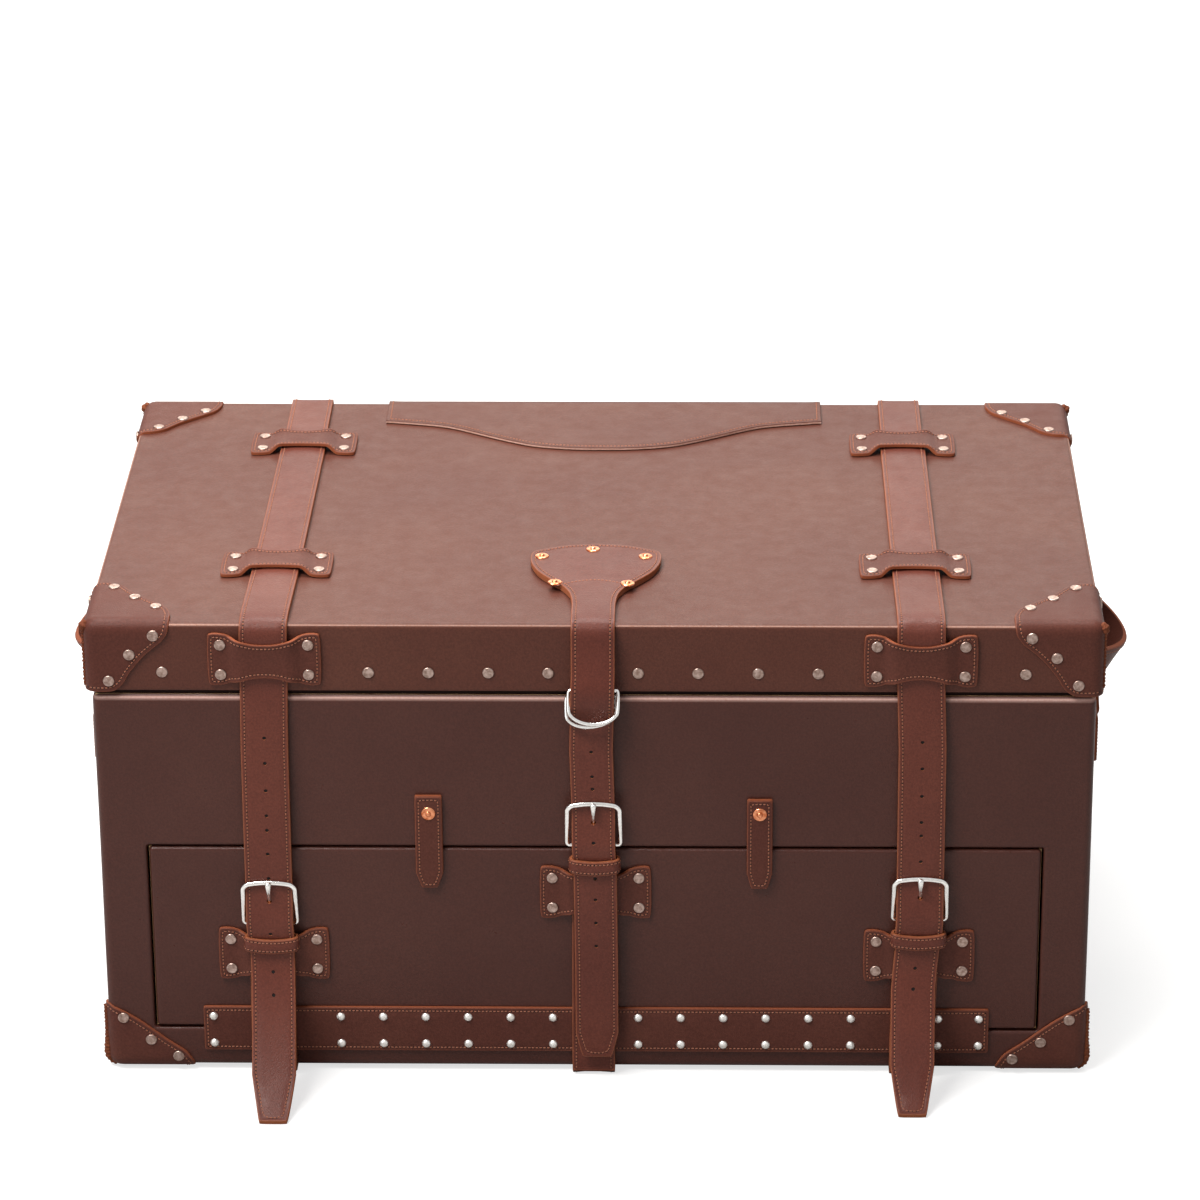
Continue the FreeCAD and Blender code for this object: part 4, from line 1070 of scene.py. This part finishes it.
def loops():
    """Leather loops round each strap, their seam hidden behind it: a band 13 mm tall that sags in its
    middle and bulges outward between its two rows of stitches."""
    for side, x in LOOP_X.items():
        tall = 13.4
        z = HEEL[side] - 16.5
        thick = 2.5
        half = WIDE[side] / 2 + 0.6 + thick / 2
        inner, outer = 6.3 + thick / 2, 15.5 + thick / 2
        line = [(0, inner), (half - 3, inner), (half - 0.6, inner + 1.2), (half + 0.2, (inner + outer) / 2)]
        line += [(half - 0.8, outer - 1.4), (half - 4, outer - 0.1), (half - 10, outer + 0.4),
                 (0, outer + 0.9)]
        line += [(-a, b) for a, b in line[-2::-1]]
        ring, s = even(curve(line, 5), 0.8)
        t = np.gradient(ring, axis=0)
        t /= np.linalg.norm(t, axis=1)[:, None]
        n = np.stack([t[:, 1], -t[:, 0]], 1)

        def place(u, v, h, ring=ring, s=s, n=n, x=x, z=z, thick=thick):
            p = [np.interp(u, s, ring[:, k]) for k in (0, 1)]
            m = [np.interp(u, s, n[:, k]) for k in (0, 1)]
            off = h - thick / 2 + 0.7 * (1 - (v / 6.7) ** 2)
            sag = 1.8 * np.cos(np.clip(p[0] / 22.0, -1, 1) * math.pi / 2) * (p[1] > 10)
            return np.stack([x + p[0] + m[0] * off, YF - p[1] - m[1] * off, z + v - sag], 1)

        w = s[-1]
        outline = [(0, -tall / 2), (w, -tall / 2), (w, tall / 2), (0, tall / 2)]
        lines = [[(w * 0.16, e * (tall / 2 - 2.6)), (w * 0.84, e * (tall / 2 - 2.6))] for e in (-1, 1)]
        piece = hide("loop_" + side, outline, place, thick, STRAP, seam=2.6, lines=lines, grid=3.0,
                     step=1.6,
                     free=lambda m, w=w: (m[:, 0] < 0.2) | (m[:, 0] > w - 0.2), rides="panel",
                     slot="leather_dark")
        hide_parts("loop_" + side)


# Metal
def tube(name, path, radius, mat, body, closed=False, seg=14, flat=1.0, up=(0, -1, 0), slot=None,
         square=1.0):
    """A bar swept along a line, its section a superellipse flattened by flat, with its radius given at each
    point if it tapers. square below 1 draws the section towards a rectangle."""
    p = np.asarray(path, float)
    r = np.full(len(p), radius) if np.isscalar(radius) else np.asarray(radius, float)
    t = (np.roll(p, -1, 0) - np.roll(p, 1, 0)) if closed else np.gradient(p, axis=0)
    t /= np.linalg.norm(t, axis=1)[:, None]
    up = np.asarray(up, float)
    a = np.cross(t, up)
    a /= np.maximum(np.linalg.norm(a, axis=1), 1e-9)[:, None]
    b = np.cross(t, a)
    verts, faces = [], []
    for i in range(len(p)):
        for k in range(seg):
            w = 2 * math.pi * (k + 0.5) / seg
            c, d = (math.copysign(abs(q) ** square, q) for q in (math.cos(w), math.sin(w)))
            verts.append(p[i] + r[i] * (a[i] * c + b[i] * d * flat))
    rows = len(p) if closed else len(p) - 1
    for i in range(rows):
        j = (i + 1) % len(p)
        for k in range(seg):
            m = (k + 1) % seg
            faces.append((i * seg + k, j * seg + k, j * seg + m, i * seg + m))
    if not closed:
        faces.append(tuple(range(seg)))
        faces.append(tuple(reversed(range((len(p) - 1) * seg, len(p) * seg))))
    v = np.array(verts)
    first = v[list(faces[0])]
    n = np.cross(first[1] - first[0], first[2] - first[0])
    if np.dot(n, first.mean(0) - (p[0] + p[1]) / 2) < 0:
        faces = [f[::-1] for f in faces]
    return make(name, verts, faces, [mat], rides=body, slot=slot)


def buckles():
    """Heel-bar buckles: a flat bar bent to a frame, its top bowed up, its arms spreading to the heel; the
    prong lies behind the strap, comes through its hole and rests over the bar in a blunt drop."""
    for side, x in BUCKLE_X.items():
        z = HEEL[side]
        w, h = 22.9, 40.6

        def lean(q):
            share = np.clip((q - z) / h, 0, 1)
            return YF - 6.3 - 6.9 * share

        c, e = 5.4, 3.2
        line = quarter(w - c, h - c, c, 0, 6) + quarter(c - w, h - c, c, 90, 6)
        line = spaced(line + quarter(e - w, e, e, 180, 4) + quarter(w - e, e, e, 270, 4), 2.2, True)
        share = np.clip(line[:, 1] / h, 0, 1)
        bow = 2.6 * np.clip(1 - (line[:, 0] / (w - 1)) ** 2, 0, 1) * np.clip((line[:, 1] - h + 6) / 6, 0, 1)
        spread = 1.0 + 0.035 * (1 - share)
        path = np.stack([x + line[:, 0] * spread, lean(z + line[:, 1]), z + line[:, 1] + bow], 1)
        obj = tube("buckle_frame_" + side, path, 1.75 + 0.3 * share, NICKEL, "panel", closed=True,
                   flat=0.72,
                   up=(0, -1, 0.17), slot="nickel", seg=16, square=0.72)
        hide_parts("buckle_" + side)
        body = "prong_" + side + "_body"
        line = [(x, YF - 6.9, z + 2.6), (x, YF - 7.3, z + 8), (x, YF - 7.6, z + 15), (x, YF - 8.7, z + 20)]
        line += [(x, YF - 10.9, z + 24.5), (x, YF - 13.7, z + 29.5), (x, YF - 16.0, z + 34.5)]
        line += [(x, YF - 17.3, z + 39.5), (x, YF - 17.4, z + 43.2), (x, YF - 17.2, z + 45.6)]
        path = curve(line, 5)
        share = np.linspace(0, 1, len(path))
        r = np.interp(share, [0, 0.2, 0.5, 0.62, 0.76, 0.88, 0.96, 1],
                      [1.8, 1.6, 1.5, 1.7, 2.5, 2.8, 1.9, 0.5])
        tube("prong_pin_" + side, path, r, NICKEL, body, flat=0.85, up=(0, -1, 0.1), slot="nickel", seg=12)
        a = np.linspace(0, 2 * math.pi, 17)[:-1]
        eye = np.stack([np.full(16, x), YF - 6.3 + 3.4 * np.cos(a), z + 3.4 * np.sin(a)], 1)
        ring = tube("prong_eye_" + side, eye, 1.0, NICKEL, body, closed=True, flat=2.2, up=(1, 0, 0),
                    slot="nickel",
                    seg=10)
        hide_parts("prong_" + side)


def rings():
    """Two D rings: a straight bar in the fold, legs past the strap, a round bow in front of it."""
    rows = (("inner", 373.5, -268.0, 350.4, -280.4, -1.8, 0.09),
            ("outer", 381.3, -272.0, 354.6, -284.2, 0.2, -0.01))
    for name, bz, by, lz, ly, dx, tilt in rows:
        half = 21.6
        line = [(-half + 2.5, 0.0), (0, 0.0), (half - 2.5, 0.0), (half - 0.6, 0.03), (half, 0.14),
                (half, 0.4)]
        for a in np.linspace(12, 168, 12):
            a = math.radians(a)
            line.append((half * math.cos(a), 0.55 + 0.45 * math.sin(a)))
        line += [(-half, 0.4), (-half, 0.14), (-half + 0.6, 0.03)]
        line = np.array(line)
        share = line[:, 1]
        path = np.stack([line[:, 0] + dx, by + (ly - by) * share,
                         bz + (lz - bz) * share + tilt * line[:, 0] * share], 1)
        path = curve(np.vstack([path, path[:1]]), 3)[:-1]
        obj = tube("ring_" + name + "_wire", path, 1.8, NICKEL, "ring_" + name + "_body", closed=True,
                   up=(0, -0.92, 0.4), slot="nickel")
        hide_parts("ring_" + name)


# Corners, strips, tabs, flap, handles
def corner_sheet(name, body, half, z_edge, way, r, arms, rivets, thick=3.0):
    """A leather patch over a corner: three cut faces meet on the edges and take their rounding.
    arms are the outlines on the front, top and end face, each from one edge of the corner to the other."""
    for sx in (-1, 1):
        big = 1.035 if sx > 0 else 1.0
        for sy in (-1, 1):
            puts = [lambda p, q: np.stack([sx * (half[0] - p), np.full_like(p, sy * half[1]),
                                           z_edge + way * q], 1),
                    lambda p, q: np.stack([sx * (half[0] - p), sy * (half[1] - q), np.full_like(p, z_edge)],
                                          1),
                    lambda p, q: np.stack([np.full_like(p, sx * half[0]), sy * (half[1] - p),
                                           z_edge + way * q], 1)]
            points, tris, dist, seams = [], [], [], []
            for put, arm in zip(puts, arms):
                line = curve(arm, 5) * big
                a, b = line[0], line[-1]
                ax = np.arange(0, a[0], 2.0)
                bx = np.arange(0, b[1], 2.0)[::-1]
                loop = [(v, 0.0) for v in ax] + spaced(line, 2.2).tolist() + [(0.0, v) for v in bx[:-1]]
                loop = np.array(loop)
                tail = spaced(line, 2.2)
                extra = [inset(tail, g, False) for g in (0.25, 0.55, 1.0, 2.2, 3.4, 4.0, 4.6)]
                low = loop.min(0), loop.max(0)
                gx = np.arange(2.0, low[1][0], 3.0)
                gy = np.arange(2.0, low[1][1], 3.0)
                spots = np.stack(np.meshgrid(gx, gy), -1).reshape(-1, 2)
                spots = spots[away(spots, tail[:-1], tail[1:]) > 5.6]
                extra = np.vstack(extra + [spots])
                extra = extra[(extra[:, 0] > 0.4) & (extra[:, 1] > 0.4) & inside(extra, loop)]
                extra = extra[away(extra, tail[:-1], tail[1:]) > 0.2]
                verts = loop.tolist() + extra.tolist()
                edges = [(i, (i + 1) % len(loop)) for i in range(len(loop))]
                got = delaunay_2d_cdt([Vector(v) for v in verts], edges, [], 0, 1e-4)
                p = np.array([tuple(v) for v in got[0]])
                t = np.array([f for f in got[2] if len(f) == 3])
                t = t[inside(p[t].mean(1), loop)]
                tris.append(t + sum(len(q) for q in points))
                points.append(put(p[:, 0], p[:, 1]))
                dist.append(away(p, tail[:-1], tail[1:]))
                seam = inset(tail, 4.0, False)
                seam = seam[(seam[:, 0] >= 0) & (seam[:, 1] >= 0)]
                seams.append(put(seam[:, 0], seam[:, 1]))
            points, tris, dist = np.vstack(points), np.vstack(tris), np.concatenate(dist)
            key, where, remap = {}, [], []
            for i, q in enumerate(np.round(points, 2)):
                k = tuple(q)
                if k not in key:
                    key[k] = len(where)
                    where.append(i)
                remap.append(key[k])
            tris = np.array(remap)[tris]
            points, dist = points[where], dist[where]
            z0, z1 = (None, z_edge) if way < 0 else (z_edge, None)

            def pos(h, points=points):
                return rounded(points, half, z0, z1, r, np.zeros(len(points)) + h)

            out = np.array([sx, sy, -way], float)
            fixed = []
            for t in tris:
                q = points[t]
                n = np.cross(q[1] - q[0], q[2] - q[0])
                fixed.append(t if np.dot(n, out) > 0 else t[::-1])
            lines = []
            for s in seams:
                s = spaced(s, 1.5)
                lo = rounded(s, half, z0, z1, r, np.full(len(s), thick - 0.12))
                lines.append((lo, rounded(s, half, z0, z1, r, np.full(len(s), thick + 0.9)) - lo))
            tag = name + ("_left" if sx < 0 else "_right") + ("_front" if sy < 0 else "_back")
            sheet_object(tag, np.array(fixed), pos, dist, thick, PATCH, lines, 0.8, [4.0], rides=body,
                         slot="leather_dark")
            for put, spots in zip(puts, rivets):
                s = np.array(spots, float).reshape(-1, 2) * big
                s = put(s[:, 0], s[:, 1])
                lo = rounded(s, half, z0, z1, r, np.full(len(s), thick))
                hi = rounded(s, half, z0, z1, r, np.full(len(s), thick + 1))
                for a, b in zip(lo, hi):
                    stud(body, "cap", a, b - a)


def corners():
    """The eight riveted corner patches: outlines of their faces and spots of their rivets."""
    front = [(73, 0), (71.5, 8), (66, 16), (60, 21), (51, 29), (44, 37), (36.5, 47), (32, 55), (26, 61),
             (19, 63.6), (0, 63.8)]
    top = [(73, 0), (73, 10), (72.5, 17), (67.5, 30), (56.5, 41), (47, 50), (38, 59), (31, 68), (24, 77),
           (13, 83), (4, 84), (0, 84.5)]
    end = [(84.5, 0), (83, 6), (76, 12), (62, 20), (50, 30), (41, 41), (34, 52), (24, 60), (14, 63.4),
           (0, 63.8)]
    spots = ([(59, 10), (37.7, 28), (19, 53)], [(58.8, 31), (38.5, 51), (18, 73)],
             [(68, 8.5), (45, 27), (22, 50)])
    corner_sheet("lid_corner", "lid", (XL, -YF), CROWN, -1, 8.0, (front, top, end), spots)
    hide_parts("lid_corners")
    front = [(76.5, 0), (76, 4), (73.5, 9), (67.5, 16.5), (53, 27), (39.5, 38), (25, 49), (11, 57.5),
             (4, 61), (0, 62.5)]
    low = [(76.5, 0), (72, 8), (60, 22), (45, 36), (30, 50), (14, 62), (0, 67)]
    end = [(67, 0), (66, 6), (60, 14), (50, 24), (42, 34), (34, 44), (23, 54), (12, 60.5), (0, 62.5)]
    spots = ([(62, 11.5), (38, 28), (14, 50)], [(40, 30)], [(56, 11), (37, 28), (16, 47)])
    corner_sheet("case_corner", "case", (XC, -YF), BASE, 1, 10.5, (front, low, end), spots, thick=2.9)
    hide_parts("case_corners")


def corner_seams():
    """Raw butt seams of the patches: a bead down each upright edge, pinched at every stitch and swelling
    to a knob at the box's own corner. Its path is a quarter round about the corner, then a straight line."""
    for tag, half_x, r, z_edge, way, far in (("lid", XL, 8.0, CROWN, -1, 60.0),
                                             ("case", XC, 10.5, BASE, 1, 58.0)):
        for sx in (-1, 1):
            for sy in (-1, 1):
                out = r + 2.7
                side = math.radians(16.0)
                line = []
                for e in np.linspace(62 if tag == "case" else 48, 0, 9):
                    e = math.radians(e)
                    line.append((math.cos(e), -math.sin(e) * out))
                line = [(c, r + q) for c, q in line] + [(1.0, q) for q in np.linspace(r + 3, far, 14)]
                path, s = even(np.array(line) * (out, 1.0), 0.85)
                bend = path[:, 0]
                x = sx * (half_x - r + bend * math.cos(side))
                y = sy * (-YF - r + bend * math.sin(side))
                path = np.stack([x, y, z_edge + way * path[:, 1]], 1)
                knob = 2.9 * np.exp(-((s - 5.0) / 4.0) ** 2)
                if tag == "case":
                    knob = 0.6 + 1.5 * np.exp(-((s - 16) / 12.0) ** 2)
                radius = 1.7 + knob + 0.4 * np.sin(s * 2 * math.pi / PITCH)
                radius += 0.2 * np.sin(s * 1.1 + sx + 2 * sy)
                tube("%s_seam_%s_%s" % (tag, "left" if sx < 0 else "right", "front" if sy < 0 else "back"),
                     path,
                     radius, RAW, tag, seg=10, up=(0.3, 0.9, 0.3), slot="leather_dark")


def strips():
    """The panel's hinge: one flat strip of leather across the panel's foot, nailed in two rows."""
    outline = rounded_rect(702, 43.6, 2.0, 3)
    place = front_place(0, 44.0)
    line = [[(-347.6, e * 18.4), (347.6, e * 18.4)] for e in (-1, 1)]
    ends = [[(e * 347.6, -18.4), (e * 347.6, 18.4)] for e in (-1, 1)]
    piece = hide("hinge_strip", outline, place, 3.0, PATCH, seam=3.4, lines=line + ends, grid=6.0)
    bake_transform(piece)
    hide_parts("hinge_strip_case", "hinge_strip_panel")
    for body, z in (("case", 29.7), ("panel", 56.6)):
        for i in range(19):
            x = {2: -265.2, 17: 305.6}.get(i, 684.0 * (i / 18 - 0.5))
            if abs(abs(x) - STRAP_X) > 20.5 and abs(x) > 23:
                stud(body, "nail", (x, YF - 3.0, z), (0, -1, 0))
    for x in (-374.6, -195.2, -143.1, -91.0, -39.0, 39.0, 91.0, 143.1, 195.2, 374.6):
        stud("lid", "cap", (x, YF, BASE + 389.4), (0, -1, 0))


def tabs():
    """Turn tabs with a pointed foot, each on a copper rivet."""
    pivot = 259.8
    for name, x, w, top in (("left", -145.5, 12.0, 16.0), ("right", 145.5, 11.2, 13.0)):
        right = curve([(w, top), (w, -10), (w, -55), (w - 0.5, -60), (7.4, -71.6), (5.8, -73.0),
                       (0, -73.2)], 4)
        right = np.vstack([[(w - 1.0, top + 0.4), (w - 0.2, top - 0.4)], right[1:]])
        outline = np.vstack([right, mirrored(right)[1:]])[::-1]
        place = front_place(x, pivot, YF - 0.3)
        piece = hide("turn_tab_" + name, outline, place, 4.4, PATCH, seam=3.4, grid=4.0, step=2.0, ease=1.1,
                     holes=[round_hole(0, 0, 3.0)[::-1]], rides="tab_" + name + "_body",
                     slot="leather_strap")
        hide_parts("tab_" + name)
        stud("case", "burr", (x, YF - 4.7, pivot), (0, -1, 0))


def flap():
    """Leather hinge of the lid: a broad flap with a scalloped front, folded over the rear edge."""
    half, thick, off = 207, 2.4, 1.5
    path = [(141, CROWN + off), (YB - EDGE, CROWN + off)]
    path += arc_yz(YB - EDGE, CROWN - EDGE, EDGE + off, 90, 0)[1:].tolist() + [(YB + off, 293.8)]
    place, length = on_strap(path, thick, 0.0, flip=-1.0)
    shares = ((1.0, 0.0), (0.985, 0.0), (0.93, 0.03), (0.76, 0.14), (0.66, 0.27), (0.54, 0.5), (0.42, 0.72),
              (0.32, 0.87), (0.2, 0.96), (0.08, 1.0), (0.0, 1.0))
    right = curve([(half * a, 68 * (1 - b)) for a, b in shares], 5)
    scallop = np.vstack([right, mirrored(right)[1:]])
    outline = np.vstack([scallop, [(-half, length), (half, length)]])
    u, v = half - 4, length - 4
    lines = [np.stack([scallop[:, 0] * 0.981, scallop[:, 1] + 4.0], 1)]
    lines += [[(e * u, 72), (e * u, v)] for e in (-1, 1)] + [[(-u, v), (u, v)]]
    piece = hide("hinge_flap", outline[::-1], place, thick, TOPHIDE, lines=lines, grid=9.0, step=4.0)
    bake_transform(piece)
    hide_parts("hinge_flap_lid", "hinge_flap_case")


def swell(s):
    """How far a handle's loop stands out, from 0 at s = -1 and 1 to 1 in the middle."""
    return np.maximum(np.sin(math.pi * (np.clip(s, -1, 1) + 1) / 2), 0) ** 0.8


def handles():
    """End handle: a loop of strap on a band, its two roots held by upright keepers. The loop is cut in its
    middle into two halves. There it stands out by BOW, hangs by drop and turns by lean."""
    high, thick, gap = 313.8, 5.0, 5.3
    root, half, drop, lean, wide = 109.0, 77.0, 12.0, 38.0, 38.0
    for name, side in (("left", -1), ("right", 1)):
        def band(u, v, h, side=side):
            return np.stack([side * (XC + h), u, v + high], 1)

        hide("handle_band_" + name, rounded_rect(452, 43, 3.0, 4), band, thick, PATCH, grid=7.0, ease=1.2,
             rides="case", slot="leather_dark")
        tie = "handle_keeper_" + name
        for way, end in ((-1, "fore"), (1, "rear")):
            at = (side * (XC + thick), way * 97.0, high)
            keeper(tie + "_" + end, at, Z, -Y * side, X * side, gap, "case")
        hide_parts("handle_" + name + "_base")
        for way, end in ((-1, "fore"), (1, "rear")):
            def grip(u, v, h, side=side, way=way):
                y = way * (root - v)
                s = y / half
                b = swell(s)
                rise = (swell(s + 0.03) - swell(s - 0.03)) / (0.06 * half)
                turn = np.radians(-lean * b)
                z = high - drop * b - u * np.cos(turn)
                x = gap + thick / 2 + BOW * b + u * np.sin(turn)
                off = h - thick / 2
                run = np.sqrt(1 + (BOW * rise) ** 2)
                x = x + off * np.cos(turn) / run
                z = z + off * np.sin(turn)
                y = y - off * BOW * rise / run
                return np.stack([side * (XC + x), y, z], 1)

            w = wide / 2
            outline = [(-w, 0), (w, 0), (w, root), (-w, root)]
            piece = hide("handle_grip_" + name + "_" + end, outline, grip, thick, PATCH, grid=4.0, step=2.5,
                         lines=side_lines(wide, 0, root), ease=1.4, lined=True,
                         free=lambda m: m[:, 1] > root - 0.2)
            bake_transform(piece)
            if way < 0:
                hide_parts("handle_" + name + "_grip")


# Carried-over solids
def carried():
    """Boards, linings and the rim keep their solids and take a material."""
    # the welt takes the near-black leather that paints the shade in the gap under the lid
    looks = {"case_lining": LINING, "lid_lining": LINING, "rim_welt": WELT_SHADE}
    boards = ("case_floor", "case_back", "case_end_left", "case_end_right", "case_front", "shelf",
              "lid_board",
              "lid_frame", "panel_board")
    for one in boards:
        looks[one] = WOOD
    for one, mat in looks.items():
        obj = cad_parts[one]
        obj.data.materials.clear()
        obj.data.materials.append(mat)


def rest_of_studs():
    """Builds all studs and hides the four CAD solids that their pieces stand for."""
    build_studs()
    names = {"lid_rivets": "caps_on_lid", "case_fixings": "caps_on_case", "panel_rivets": "caps_on_panel",
             "nails_panel": "nails_on_panel"}
    for cad, shown in names.items():
        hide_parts(cad)


# Stage
def stage():
    """White floor and backdrop, a light above and before the trunk, one over its top, a broad one behind
    that the lid mirrors, and a soft fill from the front left."""
    floor, t = blank("floor_white")
    path = node(t, "LightPath").outputs["Is Camera Ray"]
    matt = node(t, "BsdfDiffuse", {"Color": (0.45, 0.45, 0.45, 1)})
    glow = node(t, "Emission", {"Color": (1, 1, 1, 1), "Strength": ramp(t, path, 0.0, 1.0, 0.0, 0.68)})
    both = node(t, "AddShader", {0: matt.outputs[0], 1: glow.outputs[0]})
    node(t, "OutputMaterial", {"Surface": both.outputs[0]})
    s = 9000.0
    plane = make("floor", [(-s, -s, 0), (s, -s, 0), (s, s, 0), (-s, s, 0)], [(0, 1, 2, 3)], [floor])
    world = bpy.data.worlds.new("studio")
    bpy.context.scene.world = world
    world.use_nodes = True
    t = world.node_tree
    t.nodes.clear()
    path = node(t, "LightPath").outputs
    dim = ramp(t, path["Is Glossy Ray"], 0.0, 1.0, 0.3, 0.7)
    shown = node(t, "Math", {0: dim, 1: path["Is Camera Ray"]}, operation="ADD").outputs[0]
    white = node(t, "Background", {"Color": (1, 1, 1, 1), "Strength": shown})
    node(t, "OutputWorld", {"Surface": white.outputs[0]})
    rows = (("above", (-1.3, -1.4, 3.0), (-0.1, -0.3, 0.4), 1.7, 0.8, 108.0, (1.0, 0.98, 0.95)),
            ("over", (-0.3, 0.7, 3.2), (0, 0, 0.44), 2.4, 1.4, 139.0, (1.0, 0.98, 0.95)),
            ("behind", (0.0, 4.2, 2.6), (0, 0, 0.42), 5.0, 2.4, 78.0, (1.0, 0.96, 0.86)),
            ("fill", (-3.2, -3.6, 2.1), (-0.1, -0.26, 0.2), 2.4, 2.2, 28.0, (0.97, 0.98, 1.0)))
    for name, at, to, wide, tall, power, tint in rows:
        light = bpy.data.lights.new(name, "AREA")
        light.shape = "RECTANGLE"
        light.size, light.size_y, light.energy, light.color = wide, tall, power, tint
        lamp = bpy.data.objects.new(name, light)
        lamp.location = at
        lamp.rotation_euler = (Vector(to) - Vector(at)).to_track_quat("-Z", "Y").to_euler()
        bpy.context.scene.collection.objects.link(lamp)
        lamp.visible_camera = False


def camera():
    """The photograph's camera, from a fit to the corners of the lid and the case."""
    yaw, pitch, roll = -0.0237, 0.4133, -0.0069
    ahead = Vector((math.sin(yaw) * math.cos(pitch), math.cos(yaw) * math.cos(pitch), -math.sin(pitch)))
    right = Vector((math.cos(yaw), -math.sin(yaw), 0.0))
    up = right.cross(ahead)
    side = right * math.cos(roll) + up * math.sin(roll)
    over = up * math.cos(roll) - right * math.sin(roll)
    data = bpy.data.cameras.new("camera")
    data.lens, data.sensor_width, data.clip_end = 146.9, 36.0, 60.0
    data.shift_x = 0.0015
    cam = bpy.data.objects.new("camera", data)
    m = Matrix((side, over, -ahead)).transposed().to_4x4()
    m.translation = Vector((0.09642, -4.12413, 2.1568))
    cam.matrix_world = m
    bpy.context.scene.collection.objects.link(cam)
    bpy.context.scene.camera = cam


bpy.context.scene.view_settings.view_transform = "Standard"
camera()
stage()
carried()
lid_skin()
case_skin()
panel_skin()
keepers()
side_straps()
centre_strap()
chapes()
loops()
buckles()
rings()
corners()
corner_seams()
strips()
tabs()
flap()
handles()
rest_of_studs()
